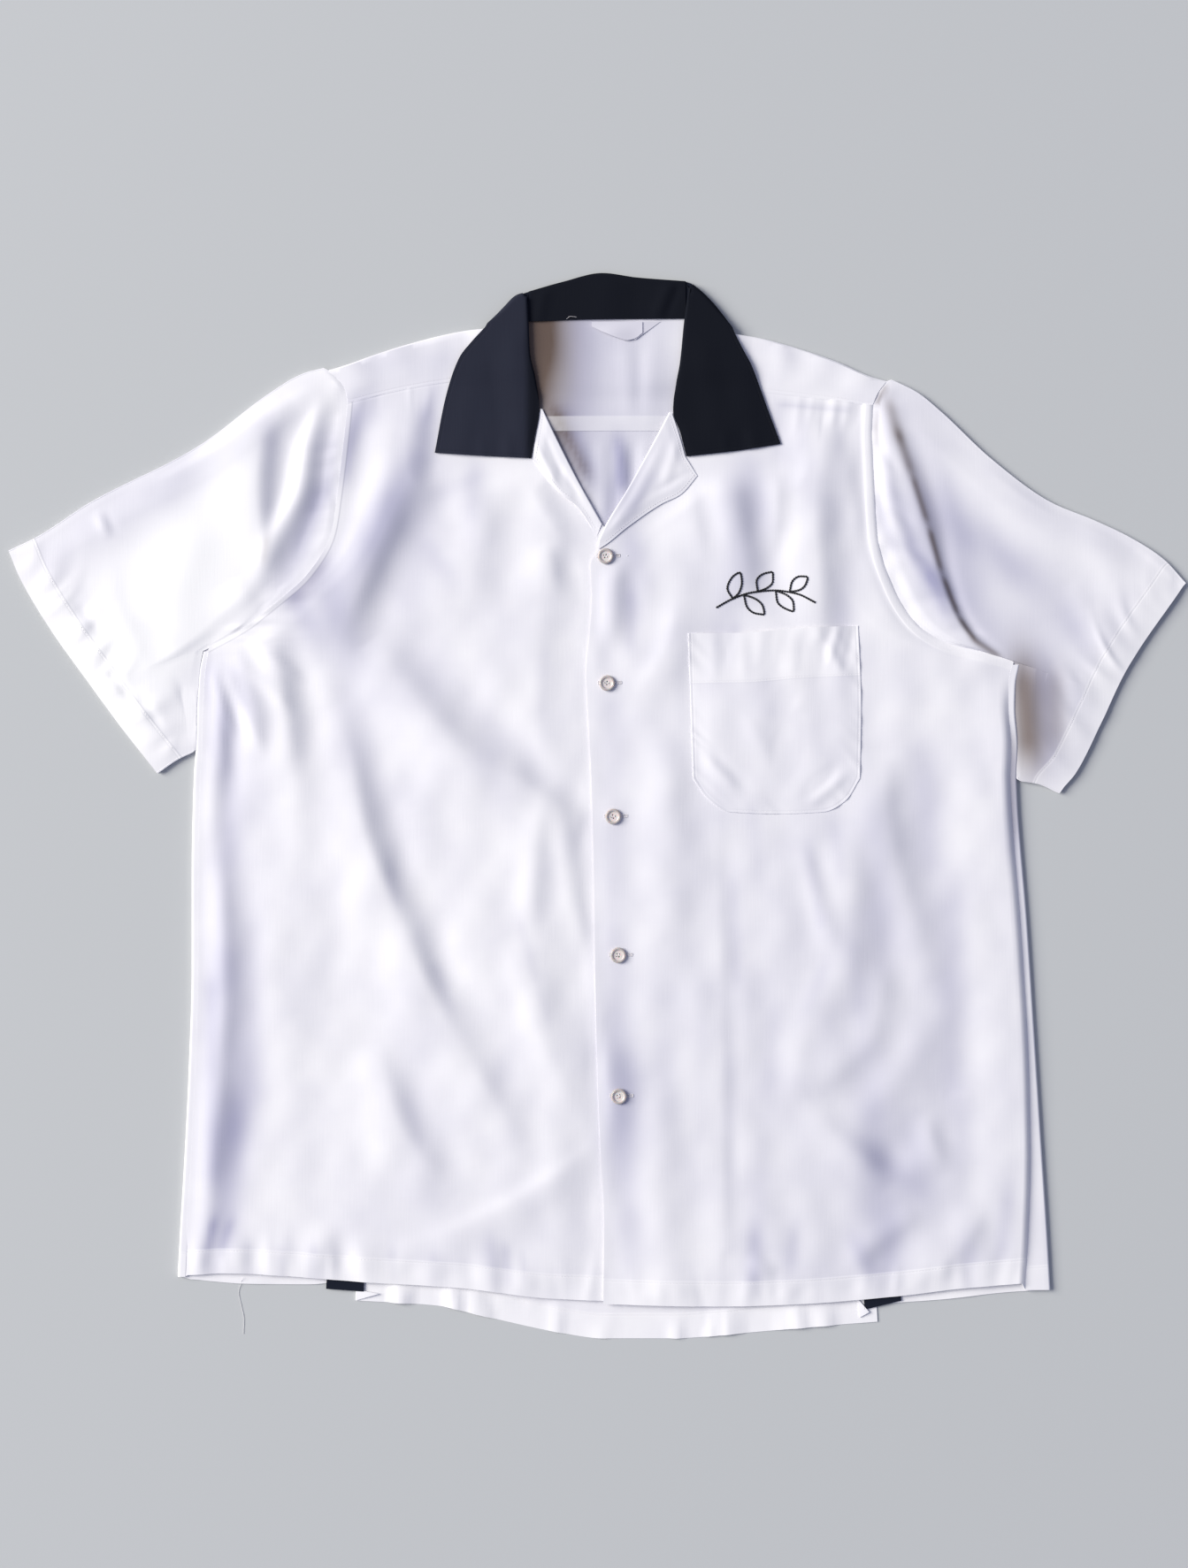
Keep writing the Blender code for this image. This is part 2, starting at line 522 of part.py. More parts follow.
def make_back_side(side):
    """Side back: flat to the side, then round the fold onto the front."""
    sign = SIDES[side]
    outline = side_outline(side)
    seam = inside_armhole(side)[1:ARMHOLE_STEPS + 1]
    above = inside_armhole(side)[ARMHOLE_STEPS + 1]
    share = (BACK_TOP_Y - seam[-1, 1]) / (above[1] - seam[-1, 1])
    top_corner = seam[-1] + (above - seam[-1]) * share
    flat_end = outline.copy()
    flat_end[:, 0] -= sign * ROLL_REACH
    armpit_gap = 4 * SEAM
    flat_end[-1] -= (sign * SLACK, armpit_gap)
    outer = np.concatenate([flat_end, seam, top_corner[None]])
    pleat = PLEAT[side]
    columns = 3
    hem = run(BACK_SIDE_HEM[side], columns)
    hem[-1] = outer[0]
    inner_top = np.array([pleat["side_top"], BACK_TOP_Y])
    inner = hem[0] + (inner_top - hem[0]) * np.linspace(0, 1, len(outer))[:, None]
    top = np.linspace(inner[-1], outer[-1], len(hem))
    flat = lifted(patch(hem, top, inner, outer), BACK)
    outward = np.tile((sign, 0.0), (len(outer), 1))
    turned = rolled(outer, outward, BACK, FRONT)
    onto_front = outer.copy()
    front_edge = front_side(side)
    onto_front[:len(outline)] = front_edge + (sign * SEAM, 0.0)
    last = front_edge[-1] - front_edge[-2]
    share = (outer[len(outline) - 1, 1] - front_edge[-2, 1]) / last[1]
    onto_front[len(outline) - 1] = front_edge[-2] + last * share + (sign * SEAM, 0.0)
    strips = [lifted(outer, FRONT), lifted(onto_front, FRONT)]
    grid = np.concatenate([flat] + [strip[:, None] for strip in turned + strips], axis=1)
    keep = np.ones((grid.shape[0] - 1, grid.shape[1] - 1), dtype=bool)
    keep[len(outline) - 1:, flat.shape[1] - 1:] = False
    cloth(f"back_side_{side}", grid, "white_rayon", keep=keep)


def make_gusset(side):
    """Black strip that bridges a pleat on the inside of the back."""
    pleat = PLEAT[side]
    columns, rows = 2, 8
    top = np.linspace((pleat["gusset_top"][0], GUSSET_TOP_Y),
                      (pleat["gusset_top"][1], GUSSET_TOP_Y), columns + 1)
    hem = np.linspace((pleat["gusset_hem"][0], pleat["gusset_hem_y"][0]),
                      (pleat["gusset_hem"][1], pleat["gusset_hem_y"][1]), columns + 1)
    grid = patch(hem, top, np.linspace(hem[0], top[0], rows + 1),
                 np.linspace(hem[-1], top[-1], rows + 1))
    cloth(f"gusset_{side}", lifted(grid, BACK + LAYER), "black_rayon")


def make_yoke():
    """Yoke: back layer, shoulder folds and the two front layers, in one piece."""
    tops, seams, outwards, front_sides, neck_sides = {}, {}, {}, {}, {}
    for side, sign in SIDES.items():
        tops[side] = run(SHOULDER[side], YOKE_COLUMNS)
        outwards[side] = normals(tops[side], -sign)
        tops[side] = tops[side] - outwards[side] * ROLL_REACH
        seams[side] = run(YOKE_SEAM[side], YOKE_COLUMNS) + (0.0, SEAM)
        armhole_edge = inside_armhole(side)[ARMHOLE_STEPS:]
        tops[side][0] = armhole_edge[-1]
        seams[side][0] = armhole_edge[YOKE_SIDE_STEPS]
        front_sides[side] = armhole_edge
        neck_sides[side] = run(YOKE_NECK[side], SHOULDER_STEPS)
        neck_sides[side][-1] = tops[side][-1]
        neck_sides[side][0] = seams[side][-1]
    neck = np.linspace(tops["left"][-1], tops["right"][-1], NECK_COLUMNS + 1)
    neck[1:-1, 1] = NECKLINE_Y
    top = join(tops["left"], neck, tops["right"][::-1])
    seam_line = np.linspace(front_sides["left"][0], front_sides["right"][0], len(top))
    back = patch(seam_line, top, front_sides["left"], front_sides["right"])
    back_z = yoke_back_height(back[..., 0], back[..., 1])
    rows = [lifted(back, back_z)]
    fold_z = back_z[-1]
    outward = np.zeros_like(top)
    outward[:YOKE_COLUMNS + 1] = outwards["left"]
    outward[-YOKE_COLUMNS - 1:] = outwards["right"][::-1]
    high = fold_z + 2 * ROLL
    for angle in np.radians(ROLL_ANGLES):
        plan = top + outward * (ROLL * math.cos(angle))
        rows.append(lifted(plan, fold_z + ROLL * (1 + math.sin(angle)))[None])
    front = np.zeros((SHOULDER_STEPS + 1, len(top), 2))
    for side in SIDES:
        layer = patch(seams[side], tops[side],
                      front_sides[side][YOKE_SIDE_STEPS:], neck_sides[side])[::-1]
        if side == "left":
            front[:, :YOKE_COLUMNS + 1] = layer
        else:
            front[:, -YOKE_COLUMNS - 1:] = layer[:, ::-1]
    start, end = -0.25, 1.0
    sink = 1.0 - ramp(np.linspace(start, end, SHOULDER_STEPS + 1))[:, None]
    rows.append(lifted(front, FRONT + (high - FRONT) * sink))
    grid = np.concatenate(rows)
    keep = np.ones((grid.shape[0] - 1, grid.shape[1] - 1), dtype=bool)
    keep[len(back) - 1:, YOKE_COLUMNS:YOKE_COLUMNS + NECK_COLUMNS] = False
    cloth("yoke", grid, "white_rayon", keep=keep)


def front_plan(side):
    """A front in plan, from its side edge to its front edge and neck."""
    outer = np.concatenate([front_side(side),
                            inside_armhole(side)[1:ARMHOLE_STEPS + YOKE_SIDE_STEPS + 1]])
    roll, neck = LAPEL_ROLL[side], NECK_EDGE[side]
    edge = UNDER_EDGE if side == "left" else TOP_EDGE
    roll_steps, neck_steps = 5, 1
    edge_steps = len(outer) - 1 - roll_steps - neck_steps
    inner = join(run(edge, edge_steps), run(roll, roll_steps), run(neck, neck_steps))
    hem = run(FRONT_HEM[side], FRONT_COLUMNS)
    top = run(YOKE_SEAM[side], FRONT_COLUMNS)
    hem[0], hem[-1] = outer[0], inner[0]
    top[0], top[-1] = outer[-1], inner[-1]
    return patch(hem, top, outer, inner)


def make_front(side):
    """A front panel with its largest folds."""
    plan = front_plan(side)
    cloth(f"front_{side}", lifted(plan, front_height(side, plan)), "white_rayon")


def make_lapel(side):
    """Facing turned back over the front, between the roll line and its own edge."""
    pieces = zip(LAPEL_EDGE[side], LAPEL_EDGE_STEPS[side])
    edge = join(*[run(rows, steps) for rows, steps in pieces])[::-1]
    roll = run(LAPEL_FOOT[side], len(edge) - 1)
    columns = 4
    plan = patch(np.linspace(edge[0], roll[0], columns + 1),
                 np.linspace(edge[-1], roll[-1], columns + 1), edge, roll)
    height = np.full(plan.shape[:-1], TURNED)
    if side == "right":
        height = height + lap_height(plan[..., 0], plan[..., 1])
    cloth(f"lapel_{side}", lifted(plan, height), "white_rayon")


def leaf_lift(y):
    """Rise of a leaf from the front up over the yoke and the collar's back."""
    low_y, high_y = 300.0, 318.0
    return (LEAF_HIGH - TURNED) * ramp((y - low_y) / (high_y - low_y))


def leaf_rows(side):
    """Rows of a collar leaf, from its front end to just before the back."""
    sign = SIDES[side]
    free = run(LEAF_FREE[side], LEAF_ROWS)
    inner = run(LEAF_INNER[side], LEAF_ROWS)
    end = run(LEAF_FRONT_END[side], LEAF_COLUMNS)
    fold = run(LEAF_SHOULDER_FOLD[side], LEAF_COLUMNS)
    # The fold has its full girth only away from the leaf's free edge.
    girth = ramp(np.linspace(0, FOLD_OPENS, len(fold)))[:, None]
    outward = normals(fold, -sign) * girth
    fold_end = fold - outward * (LEAF_ROLL + WALL / 2)
    rolls = ramp((inner[:, 1] - GORGE_Y) / GORGE_FADE)
    lip_width = np.maximum(rolls * ROLL_REACH, WALL)
    flat_inner = inner + np.stack([sign * lip_width, 0 * rolls], axis=-1)
    free[-1] = fold_end[0]
    fold_end[-1] = flat_inner[-1]
    plan = patch(end, fold_end, free, flat_inner)
    height = TURNED + leaf_lift(plan[..., 1])
    leaf = lifted(plan, height)[:, ::-1]
    lip_z = height[:, -1] - rolls * ROLL
    lip = lifted(inner + np.stack([sign * rolls * WALL / 2, 0 * rolls], axis=-1), lip_z)
    half_turn = lip.copy()
    slant = math.sqrt(0.5)
    half_turn[:, :2] = flat_inner - (flat_inner - lip[:, :2]) * slant
    half_turn[:, 2] = height[:, -1] - (height[:, -1] - lip_z) * (1 - slant)
    rows = np.concatenate([lip[:, None], half_turn[:, None], leaf], axis=1)
    turned = rolled(fold_end, outward, BACK, LEAF_HIGH)[::-1]
    turned = [row[::-1] for row in turned + [lifted(fold_end, BACK)]]
    return rows, turned


def back_rows():
    """Rows of the collar's back: stand, roll at the top and hidden fall."""
    top = run(COLLAR_TOP, NECK_COLUMNS + 1)
    seam = run(STAND_SEAM, NECK_COLUMNS + 1)
    free = run(FALL_FREE, NECK_COLUMNS + 1)
    free[:, 0] = top[:, 0]
    flat_end = top - (0.0, ROLL_REACH)
    stand_steps = 3
    stand = [lifted(seam + (flat_end - seam) * share, FRONT)
             for share in np.linspace(0, 1, stand_steps + 1)]
    turned = rolled(flat_end, np.tile((0.0, 1.0), (len(top), 1)), BACK, FRONT)[::-1]
    fall = [lifted(flat_end + (free - flat_end) * share, BACK)
            for share in np.linspace(0, 1, LEAF_COLUMNS + 1)]
    return np.stack(stand + turned + fall, axis=1), stand_steps + 1


def corner_rows(leaf, turned, first_back):
    """Rows that carry a leaf round the shoulder and fan it out under the neck."""
    fall = first_back[-LEAF_COLUMNS - 1:]
    last = turned[-1]
    fan = [last + (fall - last) * share for share in np.linspace(0, 1, FAN_ROWS + 1)[1:-1]]
    rows = turned + fan
    outermost = -LEAF_COLUMNS - 3   # the back's column at the outside of its roll
    lip_from, lip_to = leaf[-1, 0], first_back[outermost]
    built = []
    for count, row in enumerate(rows, start=1):
        lip = lip_from + (lip_to - lip_from) * count / (len(rows) + 1)
        built.append(np.concatenate([lip[None], ((lip + row[0]) / 2)[None], row]))
    return np.stack(built)


def make_collar():
    """Collar in one piece: left leaf, back and right leaf."""
    back, stand_columns = back_rows()
    blank = stand_columns + 1
    blocks, keeps = [], []
    for side in ("left", "right"):
        leaf, turned = leaf_rows(side)
        first_back = back[0] if side == "left" else back[-1]
        rows = np.concatenate([leaf, corner_rows(leaf, turned, first_back)])
        padded = np.zeros((len(rows), blank, 3))
        block = np.concatenate([padded, rows], axis=1)
        if side == "left":
            blocks += [block, back]
        else:
            blocks.append(block[::-1])
    grid = np.concatenate(blocks)
    keep = np.ones((grid.shape[0] - 1, grid.shape[1] - 1), dtype=bool)
    keep[:len(blocks[0]), :blank] = False
    keep[-len(blocks[2]):, :blank] = False
    cloth("collar", grid, "black_rayon", keep=keep)


def make_sleeve(side):
    """Sleeve: one flattened tube from the armhole to the wide cuff."""
    sign = SIDES[side]
    top_line = run(SLEEVE_TOP[side], SLEEVE_STATIONS)
    top_out = normals(top_line, -sign)
    under_line = run(UNDERARM[side], SLEEVE_STATIONS)
    under_out = normals(under_line, sign)
    under_out[0] = (0.0, -1.0)
    top_line = top_line - top_out * ROLL_REACH
    under_line = under_line - under_out * ROLL_REACH
    shoulder = run(SHOULDER_SIDE[side], SHOULDER_STEPS)
    body = join(run(SIDE_TUCK[side], SIDE_TUCK_STEPS), armhole(side), shoulder)[::-1]
    tucked = np.arange(len(body)) > len(body) - 1 - SIDE_TUCK_STEPS
    body[tucked] += (sign * 2 * SEAM, 0.0)
    steps = len(body) - 1
    even = run(CUFF[side], CUFF_STEPS)
    opposite = np.interp(np.arange(steps + 1), (0, steps - SIDE_TUCK_STEPS, steps),
                         (0, CUFF_SHARE[side] * CUFF_STEPS, CUFF_STEPS))
    cuff = np.stack([np.interp(opposite, np.arange(CUFF_STEPS + 1), even[:, axis])
                     for axis in (0, 1)], axis=-1)
    top_line[0], under_line[0] = body[0], body[-1]
    cuff[0], cuff[-1] = top_line[-1], under_line[-1]
    plan = patch(body, cuff, top_line, under_line)
    x, y = plan[..., 0], plan[..., 1]
    across = np.hypot(*np.diff(plan, axis=1).transpose(2, 0, 1))
    from_top = np.concatenate([np.zeros((len(x), 1)), np.cumsum(across, axis=1)], axis=1)
    to_under = from_top[:, -1:] - from_top
    along = np.hypot(*np.diff(plan, axis=0).transpose(2, 0, 1))
    from_body = np.concatenate([np.zeros((1, x.shape[1])), np.cumsum(along, axis=0)])
    to_cuff = from_body[-1:] - from_body
    seam_fade, edge_fade, hem_fade, loft, loft_at_hem = 14.0, 24.0, 30.0, 1.6, 0.25
    inside = (ramp(from_top / edge_fade) * ramp(to_under / edge_fade)
              * ramp(from_body / seam_fade) * ramp(loft_at_hem + to_cuff / hem_fade))
    height = FRONT + np.maximum(loft + folds(SLEEVE_FOLDS[side], x, y), 0.0) * inside
    # Beside the body below the armpit the sleeve dips a little under it.
    middle_y = points(SIDE_TUCK[side])[:, 1].mean()
    tuck_sink, tuck_full, tuck_half, tuck_width, tuck_end = 1.0, 1.3, 30.0, 16.0, 12.0
    near = (ramp(1.0 - from_body / tuck_width) * ramp(to_under / tuck_end)
            * ramp(tuck_full - np.abs(y - middle_y) / tuck_half))
    upper = lifted(plan, height - tuck_sink * near)
    lower = lifted(plan, BACK)[:, ::-1]
    under_roll = [row[:, None] for row in rolled(under_line, under_out, BACK, FRONT)[::-1]]
    top_roll = [row[:, None] for row in rolled(top_line, top_out, BACK, FRONT)]
    ring = np.concatenate([upper] + under_roll + [lower] + top_roll, axis=1)
    cloth(f"sleeve_{side}", ring, "white_rayon", closed=True)


def make_pocket():
    """Patch pocket, lifted off the right front that it is sewn to."""
    columns, rows = 9, 8
    plan = patch(run(POCKET_BOTTOM, columns), run(POCKET_TOP, columns),
                 run(POCKET_LEFT, rows), run(POCKET_RIGHT, rows))
    panel = front_plan("right")
    height = surface_under(plan, panel, front_height("right", panel)) + LAYER + SLACK
    cloth("pocket", lifted(plan, height), "white_rayon")


def surface_under(plan, panel, panel_height):
    """Height of a panel under given points, from the panel's own faces."""
    flat = panel.reshape(-1, 2)
    level = panel_height.reshape(-1)
    wanted = plan.reshape(-1, 2)
    distance = np.hypot(wanted[:, None, 0] - flat[None, :, 0],
                        wanted[:, None, 1] - flat[None, :, 1])
    neighbours, softness = 4, 1.0
    nearest = np.argsort(distance, axis=1)[:, :neighbours]
    weight = 1.0 / (np.take_along_axis(distance, nearest, axis=1) + softness)
    blended = (level[nearest] * weight).sum(axis=1) / weight.sum(axis=1)
    return blended.reshape(plan.shape[:-1])


def make_label():
    """Blank ribbon under the neck seam, sagging a little in its middle."""
    columns = 6
    across = np.linspace(-0.5, 0.5, columns + 1)
    top = np.stack([LABEL_X + LABEL_WIDTH * across, np.full(columns + 1, LABEL_Y)], axis=-1)
    sag = LABEL_DROP + LABEL_SAG * (1 - (2 * across) ** 2)
    bottom = top - np.stack([np.zeros(columns + 1), sag], axis=-1)
    rows = 2
    grid = patch(bottom, top, np.linspace(bottom[0], top[0], rows + 1),
                 np.linspace(bottom[-1], top[-1], rows + 1))
    cloth("label", lifted(grid, BACK + 2 * LAYER), "white_ribbon")


def make_button(number, x, y, seat):
    """Turned button with a raised rim, its foot on the cloth."""
    name = f"button_{number}"
    mesh = bpy.data.meshes.new(name)
    profile = np.stack([BUTTON_PROFILE["radius"], np.zeros(len(BUTTON_PROFILE["radius"])),
                        BUTTON_PROFILE["height"]], axis=-1)
    edges = [(k, k + 1) for k in range(len(profile) - 1)]
    mesh.from_pydata((profile * MM).tolist(), edges, [])
    part = add_part(name, mesh, "smoky_pearl")
    part.location = (x * MM, y * MM, seat * MM)
    turn = part.modifiers.new("turn", "SCREW")
    turn.steps = turn.render_steps = BUTTON_SIDES
    turn.use_merge_vertices = True
    turn.merge_threshold = 0.00001


def make_buttons():
    """Five buttons down the front edge, each seated on the cloth under it."""
    panel = front_plan("right")
    height = front_height("right", panel)
    for number, (x, y) in enumerate(points(BUTTONS), start=1):
        around = np.hypot(panel[..., 0] - x, panel[..., 1] - y) < 3 * BUTTON_RADIUS
        seat = height[around].max() + WALL / 2 + SEAM
        make_button(number, x, y, seat)


def build():
    """Clear the scene and make the shirt."""
    for item in list(bpy.data.objects):
        bpy.data.objects.remove(item, do_unlink=True)
    shirt = bpy.data.collections.new("bowling_shirt")
    bpy.context.scene.collection.children.link(shirt)
    make_back_centre()
    for side in SIDES:
        make_back_side(side)
        make_gusset(side)
        make_front(side)
        make_lapel(side)
        make_sleeve(side)
    make_yoke()
    make_collar()
    make_pocket()
    make_label()
    make_buttons()


build()
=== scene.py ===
# %% [markdown]
# # A bowling shirt, laid flat
# A short-sleeved shirt of white rayon with a black camp collar, buttoned and laid on
# its back. Every piece of cloth is computed as a surface over the floor: a patch spanned
# by four edges gives its cut, and a height over that cut gives its folds. All sizes are
# in millimetres until the mesh is written. "Left" and "right" are as seen from above.

# %% The fixed frame of solids
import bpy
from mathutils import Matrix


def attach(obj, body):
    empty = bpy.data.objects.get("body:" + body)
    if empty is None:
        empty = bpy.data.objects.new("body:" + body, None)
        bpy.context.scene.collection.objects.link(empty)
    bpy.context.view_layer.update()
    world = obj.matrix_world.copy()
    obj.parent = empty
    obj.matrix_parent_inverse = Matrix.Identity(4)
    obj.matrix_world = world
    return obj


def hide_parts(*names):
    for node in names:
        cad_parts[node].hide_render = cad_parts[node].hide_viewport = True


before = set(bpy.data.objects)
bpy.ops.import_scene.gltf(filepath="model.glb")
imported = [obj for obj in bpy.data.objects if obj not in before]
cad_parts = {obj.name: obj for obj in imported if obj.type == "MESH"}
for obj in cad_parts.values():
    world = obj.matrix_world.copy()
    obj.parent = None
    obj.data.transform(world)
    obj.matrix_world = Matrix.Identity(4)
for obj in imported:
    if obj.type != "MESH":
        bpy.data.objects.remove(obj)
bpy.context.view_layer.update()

# %% Tools
import math

import bpy
import numpy as np

MM = 0.001
SIDES = {"left": -1.0, "right": 1.0}

# %% [markdown]
# ## Cloth on cloth
# A shirt on a floor is a stack of layers. Each layer has its own height, so nothing
# touches: the back lies lowest, the fronts lie above it with room for the pleats, and
# the turned-back lapels and the collar lie on top. The heights below are those of the
# middle of each layer. They match the solids, and the visible cloth is thinner.

# %% Heights of the layers
WALL = 0.55                     # thickness of the visible cloth
SEAM = 0.3                      # gap between pieces that are sewn together
LAYER = 1.0 + SEAM
SLACK = 0.2
BACK = 0.5
FRONT = BACK + 2 * LAYER
ROLL = (FRONT - BACK) / 2
ROLL_REACH = ROLL + 0.5
LAP = LAYER + SLACK / 2
TURNED = FRONT + LAP
LEAF_HIGH = TURNED + LAP
LEAF_ROLL = (LEAF_HIGH - BACK) / 2
LOFT = 2.0                      # rise of a front's middle above its seams
FADE = 38.0                     # distance over which that rise fades out
DEEPEST = -0.3                  # no trough goes deeper, or it would touch the layer below
FAR = 999.0                     # distance to a seam that isn't near
FOLD_ANGLES = np.radians(np.linspace(-75, 75, 7))

# %% [markdown]
# ## Curves and patches
# A pattern cutter draws a piece by its edges. Here an edge is a short table of corner
# points with a smooth curve run through them. A Coons patch then fills the four edges:
# it rules straight lines both ways and takes off what the corners counted twice.
# Sculpting or a traced outline would do too, but tables keep every size readable.


# %% Edges from tables
def table(names, rows):
    """Named columns of a table, as arrays; commas part its rows."""
    values = np.array([row.split() for row in rows.split(",")], dtype=float)
    return dict(zip(names.split(), values.T))


def course(rows):
    """Corner points of one edge."""
    return table("x y", rows)


def courses(text):
    """Several edges, parted by semicolons."""
    return [course(rows) for rows in text.split(";")]


def ridges(rows):
    """Straight bells from one point to another, with their heights and widths."""
    return table("x0 y0 x1 y1 height width", rows)


def creases(text):
    """Curved folds, parted by semicolons, each with its height and both its widths."""
    return [table("x y height west east", rows) for rows in text.split(";")]


def both(kind, left, right):
    """The same kind of table for both sides."""
    return {"left": kind(left), "right": kind(right)}


def points(rows):
    """The x and y columns of a table, side by side."""
    return np.stack([rows["x"], rows["y"]], axis=-1)


def xy(grid):
    """The x and the y of each point of a grid or path."""
    return grid[..., 0], grid[..., 1]


# %% Soft steps and smooth curves
def ramp(value):
    """A soft S from 0 to 1: three times the square less twice the cube, held at both ends."""
    held = np.clip(value, 0.0, 1.0)
    return held * held * (3.0 - 2.0 * held)


def window(value, low, high, fade_in, fade_out=None):
    """1 between two values: a soft S up from the low one times a soft S down to the high."""
    return ramp((value - low) / fade_in) * ramp((high - value) / (fade_out or fade_in))


def through(knots, values, wanted):
    """Cubic between knots whose slope is the harmonic mean of the slopes on both sides,
    or 0 at a turning point, so that the curve never overshoots."""
    step = np.diff(knots)
    rise = np.diff(values) / step
    slope = np.zeros(len(values))
    slope[0], slope[-1] = rise[0], rise[-1]
    product = rise[1:] * rise[:-1]
    total = np.where(product > 0, rise[1:] + rise[:-1], 1.0)
    slope[1:-1] = np.where(product > 0, 2.0 * product / total, 0.0)
    piece = np.clip(np.searchsorted(knots, wanted) - 1, 0, len(step) - 1)
    s = (wanted - knots[piece]) / step[piece]
    width = step[piece]
    return ((1 + 2 * s) * (1 - s) ** 2 * values[piece]
            + s * (1 - s) ** 2 * width * slope[piece]
            + s * s * (3 - 2 * s) * values[piece + 1]
            + s * s * (s - 1) * width * slope[piece + 1])


def running(path):
    """Length of a path from its start to each of its points."""
    return np.r_[0, np.cumsum(np.linalg.norm(np.diff(path, axis=0), axis=1))]


def smooth(corners, steps):
    """Points at equal distances along corner points, on a smooth curve through them."""
    along = running(corners)
    fine = np.linspace(0, along[-1], steps)
    return np.stack([through(along, column, fine) for column in corners.T], axis=-1)


def read_at(knots, path, wanted):
    """Points of a path at wanted places among its knots, straight between its own."""
    return np.stack([np.interp(wanted, knots, column) for column in path.T], axis=-1)


def evenly(path, steps):
    """Points at equal distances along a path, found by its running length."""
    length = running(path)
    return read_at(length, path, np.linspace(0, length[-1], steps + 1))


def run(rows, steps):
    """Evenly spaced points along the smooth curve through a table's rows."""
    corners = points(rows)
    return evenly(smooth(corners, 40 * len(corners) + 6 * steps), steps)


def join(*paths):
    """Paths end to end, with the shared corner points kept once."""
    return np.concatenate([paths[0]] + [path[1:] for path in paths[1:]])


def normals(path, side):
    """Unit vectors square to a path in plan, on its left (1) or its right (-1)."""
    along = np.gradient(path, axis=0)
    along /= np.hypot(*along.T)[:, None]
    return side * np.stack([-along[:, 1], along[:, 0]], axis=-1)


# %% Patches, and distances on them
def patch(bottom, top, left, right):
    """Coons patch: the two ruled surfaces added, less the four corners ruled both ways."""
    u = np.linspace(0, 1, len(bottom))[None, :, None]
    v = np.linspace(0, 1, len(left))[:, None, None]
    across = (1 - v) * bottom[None] + v * top[None]
    along = (1 - u) * left[:, None] + u * right[:, None]
    corners = ((1 - u) * (1 - v) * bottom[0] + u * (1 - v) * bottom[-1]
               + (1 - u) * v * top[0] + u * v * top[-1])
    return across + along - corners


def ruled(bottom, top, rows):
    """Patch between two edges whose ends are joined by straight lines."""
    sides = [np.linspace(bottom[end], top[end], rows + 1) for end in (0, -1)]
    return patch(bottom, top, *sides)


def lifted(plan, height):
    """Points in plan with their heights as a third number."""
    return np.concatenate([plan, np.broadcast_to(height, plan.shape[:-1])[..., None]], axis=-1)


def walked(plan, axis, back=False):
    """Distance walked along the grid's own lines from its first edge, or from its last."""
    steps = np.linalg.norm(np.diff(plan, axis=axis), axis=-1)
    start = np.zeros_like(np.take(steps, [0], axis=axis))
    far = np.concatenate([start, np.cumsum(steps, axis=axis)], axis=axis)
    return np.take(far, [-1], axis=axis) - far if back else far


def edges_away(plan):
    """Distances walked from a patch's left, right, bottom and top edge."""
    return [walked(plan, axis, back) for axis in (1, 0) for back in (False, True)]


def feet(path, x, y):
    """For each point and each leg of a path: how far along the leg its nearest place
    lies, from 0 to 1, and the offset from there in x and in y."""
    start, leg = path[:-1], np.diff(path, axis=0)
    from_x, from_y = np.ravel(x)[:, None] - start[:, 0], np.ravel(y)[:, None] - start[:, 1]
    share = (from_x * leg[:, 0] + from_y * leg[:, 1]) / (leg ** 2).sum(axis=1)
    share = np.clip(share, 0, 1)
    return share, from_x - share * leg[:, 0], from_y - share * leg[:, 1]


def distance_to(path, x, y):
    """Shortest distance in plan from each point to a path: the least over its legs."""
    _, off_x, off_y = feet(path, x, y)
    return np.hypot(off_x, off_y).min(axis=1).reshape(np.shape(x))


# %% [markdown]
# ## Folds
# Four kinds of crease make cloth look like cloth. Short ridges and troughs are listed one
# by one, each a bell across a straight line. Long folds follow a curved line and fall more
# steeply on one side. Puckers are small and close together, square to a seam that has
# drawn the cloth up. Drift is the faint, long waviness that is left after ironing; it is
# a sum of a few sine waves of uneven length.


# %% Ridges and long folds
CREASE_STEPS = 40


def folds(rows, x, y):
    """Sum of bells: each ridge's height times e to the minus square of distance over width.
    Past 0.2 of its length from either end a ridge fades out twice as slowly."""
    total = np.zeros(np.shape(x))
    for x0, y0, x1, y1, height, width in zip(*rows.values()):
        length = math.hypot(x1 - x0, y1 - y0)
        dx, dy = (x1 - x0) / length, (y1 - y0) / length
        along = (x - x0) * dx + (y - y0) * dy
        across = (y - y0) * dx - (x - x0) * dy
        past = (along - np.clip(along, 0.2 * length, 0.8 * length)) / 2.2
        total += height * np.exp(-(across ** 2 + past ** 2) / width ** 2)
    return total


def crease(rows, x, y):
    """A fold along a curved line that runs down the table's rows. Across the line its height
    falls as a bell, with a gentle side in the west and a steep one in the east, and past
    the steep side it dips by 0.3 of the height. Heights and widths blend between rows."""
    knots = running(points(rows))
    path = run(rows, CREASE_STEPS)
    share, off_x, off_y = feet(path, x, y)
    nearest = np.hypot(off_x, off_y).argmin(axis=1)
    leg = np.diff(path, axis=0)[nearest]
    each = np.arange(len(nearest)), nearest
    share, off_x, off_y = share[each], off_x[each], off_y[each]
    away = np.hypot(off_x, off_y)
    place = (nearest + share) / CREASE_STEPS * knots[-1]
    height, west, east = (through(knots, rows[name], place) for name in ("height", "west", "east"))
    east_side = off_y * leg[:, 0] - off_x * leg[:, 1] > 0
    shape = np.exp(-(away / np.where(east_side, east, west)) ** 2)
    shape -= 0.3 * east_side * np.exp(-((away - 2 * east) / east) ** 2) * ramp(away / east)
    return (height * shape).reshape(np.shape(x))


